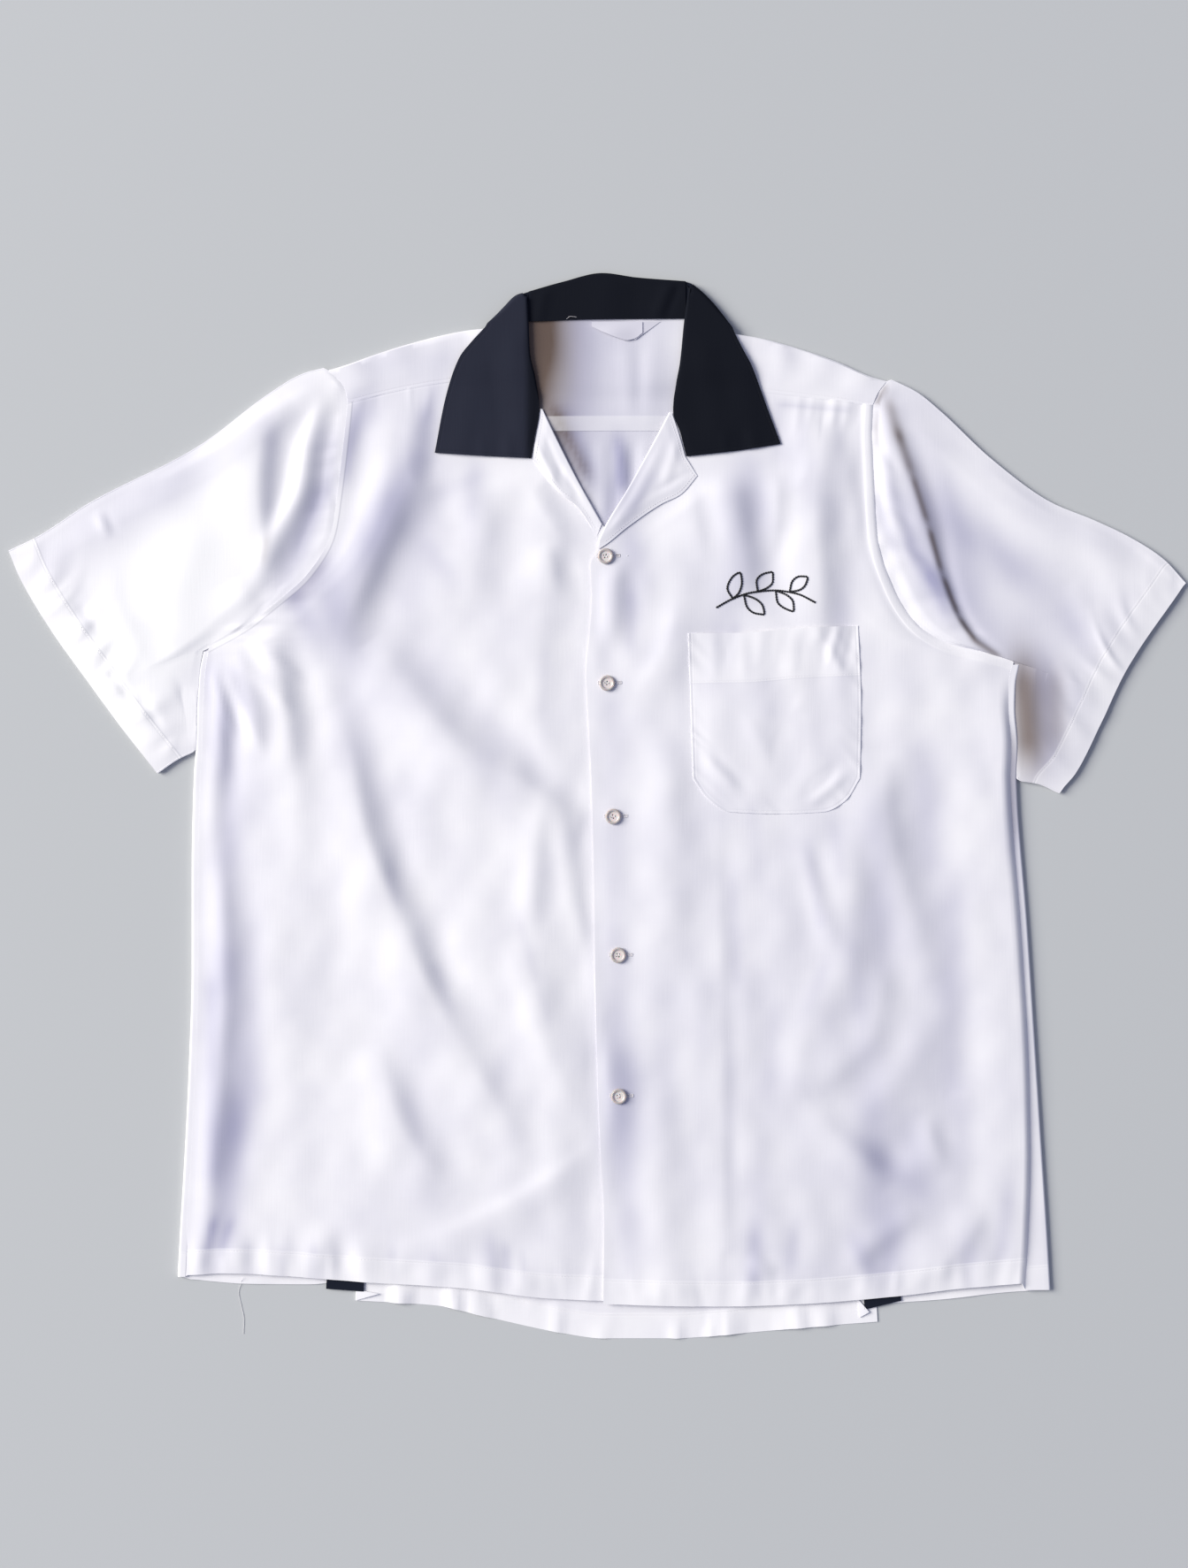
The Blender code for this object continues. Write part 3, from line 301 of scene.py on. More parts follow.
# %% Puckers and drift
def puckers(along, away, first, last, count, width, reach, depth, seed):
    """Short ridges square to a seam: a bell along it times a bell away from it, with each
    one's place, width, reach and depth drawn unevenly from a seeded list."""
    chance = np.random.default_rng(seed)
    total = np.zeros(np.shape(along))
    shifts = chance.uniform(-0.4, 0.4, count) * (last - first) / count
    for place in np.linspace(first, last, count) + shifts:
        wide = width * chance.uniform(0.6, 1.5)
        long = reach * chance.uniform(0.5, 1.6)
        deep = depth * chance.uniform(0.2, 1.2) * chance.choice((-0.7, 1.0))
        lean = chance.uniform(-0.25, 0.25)
        total += deep * np.exp(-((along - place - lean * away) / wide) ** 2 - (away / long) ** 2)
    return total


def drift(x, y, wave_x, wave_y, height, seed, count=7):
    """Sum of sine waves of about the given lengths, each with its own direction and start."""
    chance = np.random.default_rng(seed)
    total = np.zeros(np.shape(x))
    for _ in range(count):
        across = 2 * math.pi / wave_x * chance.uniform(0.5, 1.5) * chance.choice((-1, 1))
        up = 2 * math.pi / wave_y * chance.uniform(0.3, 1.4)
        total += np.sin(across * x + up * y + chance.uniform(0, 2 * math.pi))
    return height * total / math.sqrt(count)


# %% [markdown]
# ## From a grid to a piece of cloth
# Cloth has two faces and a cut or folded edge. The grid's points are moved half a wall
# out and half a wall in along their normals, and quads close the rim. Solidify would do
# the same; doing it in numpy keeps the distances to the seams on both faces, as
# attributes that the finish reads. Folded edges are marked sharp so they shade cleanly.

# %% Mesh of one or more sheets
SHARP = math.radians(48)


def quads(rows, columns, closed=False):
    """Corner numbers of a grid's cells: its rows times its columns, round again if closed."""
    index = np.arange(rows * columns).reshape(rows, columns)
    if closed:
        index = np.concatenate([index, index[:, :1]], axis=1)
    return np.stack([index[:-1, :-1], index[:-1, 1:], index[1:, 1:], index[1:, :-1]], axis=-1)


def two_faced(place, faces, wall):
    """Both faces and the rim of a sheet: points plus and minus half a wall along the
    normals, the sheet's quads, the same turned over, and a quad on each open edge."""
    probe = bpy.data.meshes.new("probe")
    probe.from_pydata(place.tolist(), [], faces.tolist())
    flat = np.zeros(len(place) * 3)
    probe.vertex_normals.foreach_get("vector", flat)
    bpy.data.meshes.remove(probe)
    out = flat.reshape(-1, 3) * wall / 2
    count = len(place)
    start, end = faces.reshape(-1), np.roll(faces, -1, axis=1).reshape(-1)
    open_edge = ~np.isin(start * count + end, end * count + start)
    a, b = start[open_edge], end[open_edge]
    rim = np.stack([b, a, a + count, b + count], axis=-1)
    return (np.concatenate([place + out, place - out]),
            np.concatenate([faces, faces[:, ::-1] + count, rim]))


def smooth_mesh(name, place, faces, marks):
    """A smoothly shaded mesh of points in millimetres, which keeps its marks in metres."""
    mesh = bpy.data.meshes.new(name)
    mesh.from_pydata((place * MM).tolist(), [], faces)
    for mark, values in marks.items():
        layer = mesh.attributes.new(mark, "FLOAT", "POINT")
        layer.data.foreach_set("value", values * MM)
    mesh.shade_smooth()
    return mesh


# %% Pieces from sheets
def cloth(name, sheets, finish, nodes, wall=WALL):
    """One piece of cloth from sheets, each a dict: its grid, and if it has them its kept
    cells, whether it closes on itself, and its marks, which are distances to its seams."""
    place, faces, marks, used = [], [], {}, 0
    names = sorted({mark for sheet in sheets for mark in sheet.get("marks", {})})
    for sheet in sheets:
        grid = sheet["grid"]
        rows, columns = grid.shape[:2]
        cells = quads(rows, columns, sheet.get("closed", False))
        cells = cells.reshape(-1, 4) if sheet.get("keep") is None else cells[sheet["keep"]]
        kept = np.unique(cells)
        number = np.zeros(rows * columns, dtype=int)
        number[kept] = np.arange(len(kept))
        solid, closed_faces = two_faced(grid.reshape(-1, 3)[kept], number[cells], wall)
        place.append(solid)
        faces.append(closed_faces + used)
        used += len(solid)
        for mark in names:
            none = 0.0 if mark in TINTS else FAR
            far = sheet.get("marks", {}).get(mark, np.full(grid.shape[:2], none))
            marks.setdefault(mark, []).append(np.tile(far.reshape(-1)[kept], 2))
    marks = {mark: np.concatenate(marks[mark]) for mark in names}
    mesh = smooth_mesh(name, np.concatenate(place), np.concatenate(faces).tolist(), marks)
    mesh.set_sharp_from_angle(angle=SHARP)
    dress(name, mesh, finish, nodes)


def dress(name, mesh, finish, nodes):
    """Put a mesh into the scene as a piece that stands for its solids."""
    piece = bpy.data.objects.new(name, mesh)
    bpy.context.scene.collection.objects.link(piece)
    mesh.materials.append(finish)
    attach(piece, "root")
    if nodes:
        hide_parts(*nodes)
    face_areas = np.zeros(len(mesh.polygons))
    mesh.polygons.foreach_get("area", face_areas)
    print(f"{name}: {len(mesh.polygons)} faces, {face_areas.sum() / 2:.4f} square metres a side")

# %% [markdown]
# ## Finishes
# The body is a viscose rayon challis: a plain weave of fine, soft threads with a faint
# lustre, so light slides off it in broad, quiet highlights. The collar and the pleat
# insets are the same cloth dyed black. Real thread spacing is 0.35 mm, too fine to show,
# so the bump draws only its slubs: threads that are a little thick for some way. Close
# to a seam the cloth is doubled, which reads as a small step with a stitched groove.

# %% Colour and nodes
def linear(code):
    """sRGB hex to linear: c over 12.92 below 0.04045, else ((c + 0.055) / 1.055) to 2.4."""
    parts = np.array([int(code[k:k + 2], 16) for k in (1, 3, 5)]) / 255
    low, high = parts / 12.92, ((parts + 0.055) / 1.055) ** 2.4
    return (*np.where(parts <= 0.04045, low, high).tolist(), 1.0)


def add(tree, kind, inputs=None, **settings):
    """Add a node, set its settings, and set or link each named input."""
    made = tree.nodes.new(kind)
    for key, value in settings.items():
        setattr(made, key, value)
    for socket, value in (inputs or {}).items():
        if isinstance(value, bpy.types.NodeSocket):
            tree.links.new(value, made.inputs[socket])
        else:
            made.inputs[socket].default_value = value
    return made


def math_node(tree, operation, *values):
    """One Math node's result from sockets or numbers."""
    return add(tree, "ShaderNodeMath", dict(enumerate(values)), operation=operation).outputs[0]


def total(tree, sockets):
    """Sum of several sockets, one Math node after another."""
    result = sockets[0]
    for socket in sockets[1:]:
        result = math_node(tree, "ADD", result, socket)
    return result


def mark_of(tree, name):
    """The socket of one of the mesh's marks."""
    return add(tree, "ShaderNodeAttribute", attribute_name=name).outputs["Fac"]


def noise(tree, place, scale, detail, roughness=0.5):
    """The socket of a noise from 0 to 1, of so many waves a metre."""
    return add(tree, "ShaderNodeTexNoise", {"Vector": place, "Scale": scale, "Detail": detail,
                                            "Roughness": roughness}).outputs["Fac"]


def mapped(tree, value, low, high, start=0.0, end=1.0, kind="LINEAR"):
    """A value brought from between low and high to between start and end."""
    return add(tree, "ShaderNodeMapRange", {"Value": value, "From Min": low, "From Max": high,
                                            "To Min": start, "To Max": end},
               interpolation_type=kind).outputs[0]


def mixed(tree, share, first, second):
    """Two colours mixed: a share of the second, the rest of the first. Either may be hex."""
    first, second = (linear(c) if isinstance(c, str) else c for c in (first, second))
    return add(tree, "ShaderNodeMix", {"Factor": share, 6: first, 7: second},
               data_type="RGBA").outputs[2]


def principled(name, settings):
    """A new material, its node tree, and its Principled shader with some inputs set."""
    made = bpy.data.materials.new(name)
    made.use_nodes = True
    shader = made.node_tree.nodes["Principled BSDF"]
    for socket, value in settings.items():
        shader.inputs[socket].default_value = value
    return made, made.node_tree, shader


# %% A woven finish with its seams
# Painted tints: painted light that whitens cloth where the lamp falls most, lilac painted
# shade where cloth turns from the light, brown painted shadow in deep creases and hollows
# (at the neck and the right armpit it also stands for yellowing with age), and a darker
# black painted where the collar lies in shade. Each is a mark of the mesh, from 0 to 1.
TINTS = {"bright": "#ffffff", "shade": "#a1a1bd", "brown": "#5c4b42", "deep": "#0f121b"}
# Height of a doubled hem's step, half its breadth, and the same of a stitched groove, in mm.
STEP, STEP_HALF = {"step": 0.16, "faint": 0.04}, 0.7
GROOVE_DEPTH, GROOVE_HALF = 0.07, 1.1
DOUBLED_LIGHTER = 0.35


def woven(name, light, deep, seams=(), roughness=0.55, sheen=0.2, sheen_tint="#ffffff",
          slub=0.03, crumple=0.06, specular=0.5):
    """Plain-woven cloth. Colour: two close tones mixed by broad noise, and a doubled hem a
    little lighter. Bump height in metres: slubs along both thread directions, a faint
    crumple, and for each seam (mark, distance in mm, "step" or "groove") a smooth step
    or a narrow dip there. Each painted tint (painted light, lilac painted shade, brown
    painted shadow, darker black painted shade) is mixed in by its own amount."""
    made, tree, shader = principled(name, {
        "Roughness": roughness, "IOR": 1.5, "Specular IOR Level": specular,
        "Sheen Weight": sheen, "Sheen Roughness": 0.45, "Sheen Tint": linear(sheen_tint)})
    place = add(tree, "ShaderNodeTexCoord").outputs["Object"]
    heights = []
    for stretch in ((40.0, 900.0, 1.0), (900.0, 40.0, 1.0)):
        along = add(tree, "ShaderNodeMapping", {"Vector": place, "Scale": stretch}).outputs[0]
        heights.append(math_node(tree, "MULTIPLY", noise(tree, along, 1.0, 1.0), slub * MM))
    for scale, depth in ((34.0, crumple), (95.0, crumple * 0.3)):
        soft = noise(tree, place, scale, 2.0, 0.45)
        heights.append(math_node(tree, "MULTIPLY", soft, depth * MM))
    doubled = []
    for mark, distance, kind in seams:
        far = mark_of(tree, mark)
        if kind in STEP:
            doubled.append(mapped(tree, far, (distance + STEP_HALF) * MM,
                                  (distance - STEP_HALF) * MM, kind="SMOOTHSTEP"))
            heights.append(math_node(tree, "MULTIPLY", doubled[-1], STEP[kind] * MM))
        else:
            off = math_node(tree, "SUBTRACT", far, distance * MM)
            heights.append(mapped(tree, math_node(tree, "ABSOLUTE", off), 0.0, GROOVE_HALF * MM,
                                  -GROOVE_DEPTH * MM, 0.0, "SMOOTHSTEP"))
    colour = mixed(tree, noise(tree, place, 19.0, 3.0), light, deep)
    for mark, tone in TINTS.items():
        colour = mixed(tree, mapped(tree, mark_of(tree, mark), 0.0, MM), colour, tone)
    for layer in doubled:
        colour = mixed(tree, math_node(tree, "MULTIPLY", layer, DOUBLED_LIGHTER), colour, light)
    tree.links.new(colour, shader.inputs["Base Color"])
    bump = add(tree, "ShaderNodeBump", {"Height": total(tree, heights), "Distance": 1.0,
                                        "Strength": 1.0})
    tree.links.new(bump.outputs[0], shader.inputs["Normal"])
    return made


WHITE, WHITE_DEEP = "#fbfafb", "#dfdee8"
BLACK, BLACK_DEEP = "#1a1f2d", "#161a26"


def white_rayon(name, seams=(), **more):
    """The white cloth, with one piece's own seams."""
    return woven(f"white_rayon_{name}", WHITE, WHITE_DEEP, seams, **more)


def black_rayon(name, seams=(), **more):
    """The black cloth: dyed deep, matt, with a blue cast where light grazes it."""
    return woven(f"black_rayon_{name}", BLACK, BLACK_DEEP, seams, roughness=0.85, sheen=0.045,
                 sheen_tint="#6f7a99", slub=0.05, crumple=0.15, specular=0.12, **more)


# %% [markdown]
# ## Cut of the body
# The side runs from the hem up to the armpit, then the armhole goes on to the shoulder.
# The back's cloth wraps a few millimetres round each side before the front begins.

# %% Outlines of the body
SIDE_LOW_STEPS, SIDE_TUCK_STEPS, ARMHOLE_STEPS = 112, 20, 64
YOKE_SIDE_STEPS, SHOULDER_STEPS = 8, 8
FRONT_COLUMNS, YOKE_COLUMNS, NECK_COLUMNS = 116, 44, 40

SIDE_LOW = both(course, """-303 -340, -301.2 -306, -298 -252, -294.8 -185, -292.9 -121, -292.9 -51,
    -291.4 20, -289.9 42.4""",
    "328 -349.5, 326 -313, 321.5 -244, 315.7 -153, 311.2 -84, 304.5 0, 303.6 20.7")
SIDE_TUCK = both(course, "-289.9 42.4, -289.5 63.6, -287.8 96, -285.2 112.8",
    "303.6 20.7, 304.5 43.1, 302.5 70.6, 303 87.2, 306 103.2")
# How far the cloth of the back comes round to the front at the side, by height.
WRAP = {"left": table("y width", "-340 3, 113 3"),
        "right": table("y width", "-349.5 16.5, -313 12.5, -244 6.5, -150 3.5, 103.2 3")}
ARMHOLE = both(course, """-285.2 112.8, -253.9 130.1, -236 144.2, -209.1 167.9, -192.4 196.7,
    -188 223.6, -185.4 244, -182.3 271""",
    "306 103.2, 278.6 110.9, 253 118, 231.2 132, 214.6 157.6, 203 195.4, 200.3 238.3, 199 271")
YOKE_SIDE = both(course, "-182.3 271, -180.4 291.5",
    "199 271, 199.8 289.5")
SHOULDER_SIDE = both(course, "-180.4 291.5, -181.6 299.1, -188 308, -194 313.2",
    "199.8 289.5, 203.5 298, 209 305.4")

# Shoulder folds, from the armhole to the neck; both dip under the collar.
SHOULDER = both(course, """-194.5 315, -181.6 318.9, -161.7 326, -138 333.6, -108 341.3, -93 344,
    -78 345.3, -66 348.5, -54 352.5""",
    "209.5 307.2, 198 310.6, 173 321.5, 138.4 333, 116 338.8, 97 341.8, 82 346.5, 69 352.5")
NECKLINE_Y = 353.0
# Front yoke seams, from the armhole to the neck edge under the collar.
YOKE_SEAM = both(course, "-180.4 291.5, -150.8 299, -131.6 303, -106.7 307, -73.4 311, -49.5 313",
    "199.8 289.5, 173 293.3, 142.3 297.2, 125 299.1, 93 306.8, 62 312")
BACK_SEAM_Y = 270.0
BACK_TOP_Y = 277.0
# Edge of the neck opening under the collar, from the lapel's roll to the yoke.
NECK_EDGE = both(course, "-43 287.5, -46.5 300, -49.5 313",
    "56.6 285.6, 59.5 299, 62 312")
YOKE_NECK = both(course, "-49.5 313, -52.5 330, -54 350.7",
    "62 312, 66 330, 69 350.7")
# Roll lines of the lapels, from the foot of the V up to the collar.
LAPEL_ROLL = both(course, "6 200.5, -15.8 237.6, -31.8 269.6, -43 287.5",
    "2.1 190.9, 6 200.5, 22.6 228, 38.6 256.8, 56.6 285.6")
# Front edge of the top layer and of the layer hidden under it, hem upwards.
TOP_EDGE = course("""4.7 -359.5, 5.3 -300, 2.8 -249, 0.8 -201, -1 -128, -1.9 -60, -3.9 20,
    -6.6 77.6, -7.4 96.2, -4.9 126.9, -3.4 151.2, -4.3 175.6, 0.8 184.5, 2.1 190.9""")
UNDER_EDGE = course("33 -358, 33 -250, 28 -60, 23 80, 23 165, 14 188, 6 200.5")
FRONT_HEM = both(course, """-298 -339, -265.4 -337.4, -229.6 -339, -170 -343.6, -99.6 -348,
    -33.7 -355.6, 33 -358.5""",
    "309 -344.1, 261.3 -348.5, 219.1 -353.7, 148 -359.5, 90 -361.4, 4.7 -359.5")
BACK_SIDE_HEM = both(course, "-189 -344.5, -207.8 -346, -251.3 -345.6, -301 -341.5",
    "213 -359.5, 249.8 -356.9, 295.2 -351.8, 326 -349.7")
BACK_CENTRE_HEM = course("""-174.5 -357.6, -115 -361.5, -79.8 -369.5, -25.4 -381.2, 4 -385.1,
    54.6 -385.1, 109 -381, 155.7 -376.8, 203 -373""")
# Pleats of the back: where the side and the centre begin at the top, and the four corners
# of the black inset between them, bottom first.
SIDE_TOP, CENTRE_TOP = {"left": -153.0, "right": 169.0}, (-151.0, 167.0)
INSET_TOP_Y = BACK_SEAM_Y - SEAM
INSET = {"left": ((-195.6, -349.0), (-168.5, -351.0),
                  (-160.0, INSET_TOP_Y), (-144.0, INSET_TOP_Y)),
         "right": ((193.5, -364.0), (220.0, -357.5),
                   (160.0, INSET_TOP_Y), (176.0, INSET_TOP_Y))}


# %% Edges that the pieces share
def side_outline(side):
    """Outline of the body's side, from the hem up to the armpit."""
    return join(run(SIDE_LOW[side], SIDE_LOW_STEPS), run(SIDE_TUCK[side], SIDE_TUCK_STEPS))


def armhole(side):
    """Armhole seam from the armpit to the front yoke seam."""
    return join(run(ARMHOLE[side], ARMHOLE_STEPS), run(YOKE_SIDE[side], YOKE_SIDE_STEPS))


def inside_armhole(side):
    """Armhole edge of the body: the seam moved inwards by twice the gap."""
    edge = join(armhole(side), run(SHOULDER_SIDE[side], SHOULDER_STEPS))
    return edge + normals(edge, SIDES[side]) * (2 * SEAM)


def front_side(side):
    """Side edge of a front, and the part of the armhole above it: the outline less the
    cloth that comes round, ending where it meets the armhole."""
    outline = side_outline(side)
    width = through(WRAP[side]["y"], WRAP[side]["width"], outline[:, 1]) + ROLL_REACH + SEAM
    edge = outline.copy()
    edge[:, 0] -= SIDES[side] * width
    seam = inside_armhole(side)[:ARMHOLE_STEPS + YOKE_SIDE_STEPS + 1]
    low = ARMHOLE_STEPS // 2
    reach = np.interp(-SIDES[side] * edge[-1, 0], -SIDES[side] * seam[:low, 0], np.arange(low))
    steps = np.linspace(reach, len(seam) - 1, len(seam))
    upper = read_at(np.arange(len(seam)), seam, steps)
    edge[-1] = upper[0]
    return edge, upper


def rolled(flat_end, outward, low, high):
    """Points round a fold: half a circle from the low layer to the high one."""
    radius = (high - low) / 2
    return [lifted(flat_end + outward * (radius * math.cos(angle)),
                   low + radius * (1 + math.sin(angle))) for angle in FOLD_ANGLES]

# %% [markdown]
# ## The back
# The back hangs from the yoke in three parts. Two black insets bridge the pleats between
# them, and show only as a short black strip at the hem. The hem is turned up 18 mm and
# the machine has puckered it a little. The back lies on the floor, so its folds stay
# under half a millimetre, apart from the soft ones that show through the neck opening.

# %% Painted shade, brown shadow and light, each a soft streak from one point to another
# Here a ridge's height is the share of the tint, from 0 to 1.
# Lilac painted shade, where the cloth turns from the lamp or lies in the shadow of a fold or an
# edge.
PAINT = {
    "front": ridges("""-185 300 -120 285 0.14 22, -166 290 -192 236 0.42 11,
    -122 286 -128 248 0.26 8, -134 250 -146 222 0.26 15, -143 225 -160 190 0.36 16,
    -160 195 -186 148 0.36 20, -205 222 -208 172 0.34 9, -224 160 -208 130 0.38 9,
    -126 205 -134 150 0.2 14, -88 248 -90 210 0.26 9, -90 236 -112 226 0.14 7,
    -118 182 -108 168 0.16 8, -120 240 -116 165 0.12 20, -200 165 -172 110 0.26 16,
    -186 122 -176 30 0.22 16, -168 40 -162 0 0.14 12, -284 104 -266 60 0.26 8,
    -262 104 -250 70 0.3 8, -268 66 -263 -30 0.44 13, -270 -30 -268 -120 0.4 14,
    -265 -110 -261 -235 0.5 16, -262 -225 -272 -318 0.66 15, -186 262 -188 236 0.3 8,
    -222 150 -204 190 0.34 6, -150 -44 -144 -68 0.2 5, -118 -114 -106 -146 0.2 5,
    -137 -212 -128 -240 0.16 6, -288 -338 -236 -343 0.16 6, 299 34 298 -44 0.24 6,
    297 -278 291 -326 0.34 7, 212 202 212 168 0.16 8, 194 -140 192 -170 0.16 9,
    226 -236 232 -264 0.18 12, 60 100 62 60 0.12 5, -246 -60 -246 -235 0.26 10,
    -279 -95 -277 -300 0.34 7, -276 -296 -284 -336 0.4 4, -262 -296 -278 -340 0.24 4,
    -248 95 -240 -20 0.12 12, -78 52 -72 18 0.18 14, -146 10 -140 -55 0.14 14,
    -252 -318 -251 -345 0.22 4, -228 -322 -227 -344 0.26 3.5, -204 -318 -206 -346 0.3 4,
    -77 -314 -73 -346 0.3 6, -66 -318 -64 -346 0.3 4, -54 -322 -52 -344 0.16 3,
    -148 -322 -146 -342 0.2 4, -118 -324 -118 -344 0.16 3.5, -130 -190 -126 -320 0.12 26,
    -66 -195 -60 -235 0.14 12, -60 -70 -30 -170 0.12 4, -36 120 -40 60 0.1 4,
    -150 150 -140 60 0.12 22, -118 100 -118 60 0.1 18, -90 -300 -60 -345 0.1 20,
    100 228 104 165 0.34 13, 138 262 160 215 0.2 16, 204 10 207 -90 0.2 16, 236 26 240 -34 0.42 14,
    236 -40 238 -335 0.26 22, 258 -36 256 -235 0.3 12, 264 -215 262 -275 0.2 10,
    268 -318 270 -346 0.36 9, 200 -5 202 -130 0.2 15, 198 -200 206 -335 0.34 15,
    190 -246 222 -270 0.2 10, 188 -318 196 -334 0.34 7, 216 -300 208 -345 0.24 10,
    20 244 26 130 0.34 13, 122 291 192 285 0.24 2.6, 150 282 149 262 0.12 5,
    174 280 175 258 0.14 5, 132 284 130 268 0.1 4, 112 225 120 160 0.24 13, 176 158 176 96 0.3 9,
    22 -165 22 -345 0.34 13, 50 -178 52 -214 0.16 10, 114 -308 113 -346 0.5 7,
    142 -310 140 -330 0.26 6, 98 -40 100 -140 0.2 6, 128 -150 124 -200 0.14 8,
    96 -150 97 -290 0.1 5, 150 -20 164 -96 0.2 5, 112 0 118 -60 0.12 6, 76 -130 74 -260 0.08 6,
    164 -116 150 -150 0.16 6, 170 -6 176 -50 0.16 6, 184 -96 188 -150 0.16 7,
    120 -230 116 -300 0.1 7, 202 -90 204 -300 0.1 16, 170 -50 172 -190 0.1 16,
    44 150 44 -345 0.08 14, 12 172 13 -352 0.2 12, 14 -140 16 -250 0.2 16, 130 110 150 -330 0.1 80,
    26 214 40 238 0.26 4.5, 20 236 50 262 0.22 12, 26 190 38 160 0.16 7, 24 156 24 112 0.22 6,
    52 124 34 104 0.14 8, 7 180 5 100 0.18 9, 112 242 124 205 0.2 10, 92 150 88 128 0.18 10,
    100 128 97 104 0.24 5, 88 118 80 94 0.2 8, -196 176 -214 150 0.3 7, -174 285 -180 235 0.24 6,
    -276 110 -272 20 0.2 9, 244 150 238 120 0.16 9, -166 322 -98 322 0.2 13,
    -116 302 -124 280 0.2 6, 110 -190 225 -320 0.07 60"""),
    "sleeve_left": ridges("""-405 178 -300 232 0.26 24, -300 236 -235 282 0.2 18,
    -234 272 -238 206 0.36 8, -200 268 -204 215 0.3 8, -206 215 -228 160 0.34 12,
    -330 132 -302 118 0.05 7, -372 150 -368 130 0.14 6, -200 226 -216 186 0.28 9,
    -190 270 -194 220 0.28 6"""),
    "sleeve_right": ridges("""232 256 262 160 0.34 22, 258 156 292 104 0.28 16,
    240 214 300 176 0.24 17, 300 176 342 134 0.24 15, 268 172 330 92 0.16 22,
    310 216 380 180 0.14 13, 214 226 228 186 0.3 7, 236 214 246 160 0.2 8, 222 198 238 150 0.26 8,
    252 232 268 190 0.16 9, 224 252 236 220 0.2 6, 278 205 300 165 0.12 9, 238 168 252 138 0.3 5,
    322 96 326 26 0.6 14, 344 130 352 112 0.2 9, 346 82 352 70 0.18 8, 206 300 210 268 0.2 5,
    203 216 215 184 0.3 5, 228 184 258 146 0.26 6, 208 250 212 226 0.16 5"""),
    "side": ridges("300 44 300 -36 0.5 7, 302 -30 304 -120 0.2 6, 307 -262 306 -330 0.3 5"),
    "neck": ridges("""4 345 4 285 0.4 62, -14 360 -14 276 0.34 14, 20 255 22 206 0.2 7,
    -27 286 -4 236 0.45 8, 15 264 19 234 0.5 5.5, 13 234 6 198 0.34 7"""),
}
# Brown painted shadow in the right sleeve's valley, beside the body's edges, along the left lapel
# and inside the neck; at the neck and the right armpit it also stands for yellowing with age.
BROWN_SHADE_AND_AGE = {
    "neck": ridges("""-47 368 -47 288 1 25, -38 372 -30 328 0.3 18, -31 286 -6 236 0.55 5,
    -40 288 2 206 0.25 2.5"""),
    "sleeve_right": ridges("""210 304 201 289 0.5 1.6, 201 289 201 258 0.45 1.6,
    211 290 217 268 0.44 4.5, 217 270 227 240 0.56 3.8, 227 240 239 202 0.6 2.6,
    239 202 249 167 0.72 2.4, 249 167 261 136 0.8 2.2, 261 136 273 119 0.8 2.2,
    230 244 246 190 0.12 8, 273 119 290 108 0.6 2.4, 307 98 311 38 0.8 12, 320 84 322 40 0.16 12,
    331 92 333 50 0.3 8"""),
    "sleeve_left": ridges("-238 192 -240 178 0.2 3"),
    "front": ridges("303 80 304 10 0.1 5, -200 172 -216 150 0.14 6"),
    "side": ridges("301 60 300 -30 0.2 5"),
}
# Painted light: the left sleeve is whitened where the lamp falls on it most.
PAINTED_LIGHT = {"sleeve_left": ridges("-345 100 -285 190 0.9 46")}


def painted(place, x, y):
    """The painted shade, brown shadow and painted light of a piece: sums of streaks, held between
    0 and 1.
    """
    tables = {"shade": PAINT, "brown": BROWN_SHADE_AND_AGE, "bright": PAINTED_LIGHT}
    return {mark: np.clip(folds(rows[place], x, y), 0, 1)
            for mark, rows in tables.items() if place in rows}


# %% Measures and heights shared by the pieces
HEM = 18.0
HEM_LINES = [("hem", HEM, "step"), ("hem", HEM - 1.5, "groove")]
# How far one cloth's edge runs under the next, the step in height there, and how high the
# seam of the left armhole stands.
OVERLAP, SEAM_STEP, SEAM_RIDGE = 0.8, 0.05, 1.3
# Puckers along a seam: how many, their width, their reach from the seam and their depth.
PUCKERS = {"back_hem": (46, 4.6, 16, 1.6), "side_hem": (16, 4.0, 12, 0.5),
           "left_hem": (34, 5.0, 13, 0.8), "right_hem": (36, 4.4, 10, 0.62),
           "yoke_seam": (20, 3.5, 12, 0.4), "armhole": (14, 4.0, 16, 0.6),
           "cuff": (22, 4.0, 15, 0.8), "sleeve_seam": (30, 3.4, 14, 0.75),
           "pocket": (40, 3.0, 9, 0.35)}


def neck_loft(x):
    """Rise of the back's cloth across the neck opening."""
    return 1.7 * window(x, -52, 64, 30)


def ridge_reach(y):
    """1 up the left armhole where its seam stands up as a ridge, 0 at both its ends."""
    return window(y, 92, 286, 60, 20)


def kept_off(distances, fades, starts=(0, 0, 0, 0)):
    """0 at a patch's four edges and 1 inside: a product of soft steps, each over its own
    fade. A start above 0 lets some of the height reach that edge."""
    steps = zip(distances, fades, starts)
    return math.prod(ramp(start + away / fade) for away, fade, start in steps)


def every_cell(grid):
    """A mask that keeps every cell of a grid."""
    return np.ones((grid.shape[0] - 1, grid.shape[1] - 1), dtype=bool)


# %% Centre back
panels = {}
BACK_FOLDS = ridges("""17 268 22 196 1.2 4.5, 36 266 30 205 1 5, 3 266 6 200 0.6 5,
    27 262 26 205 -0.25 3, -14 268 -8 220 0.7 6, 50 268 46 240 0.5 5""")
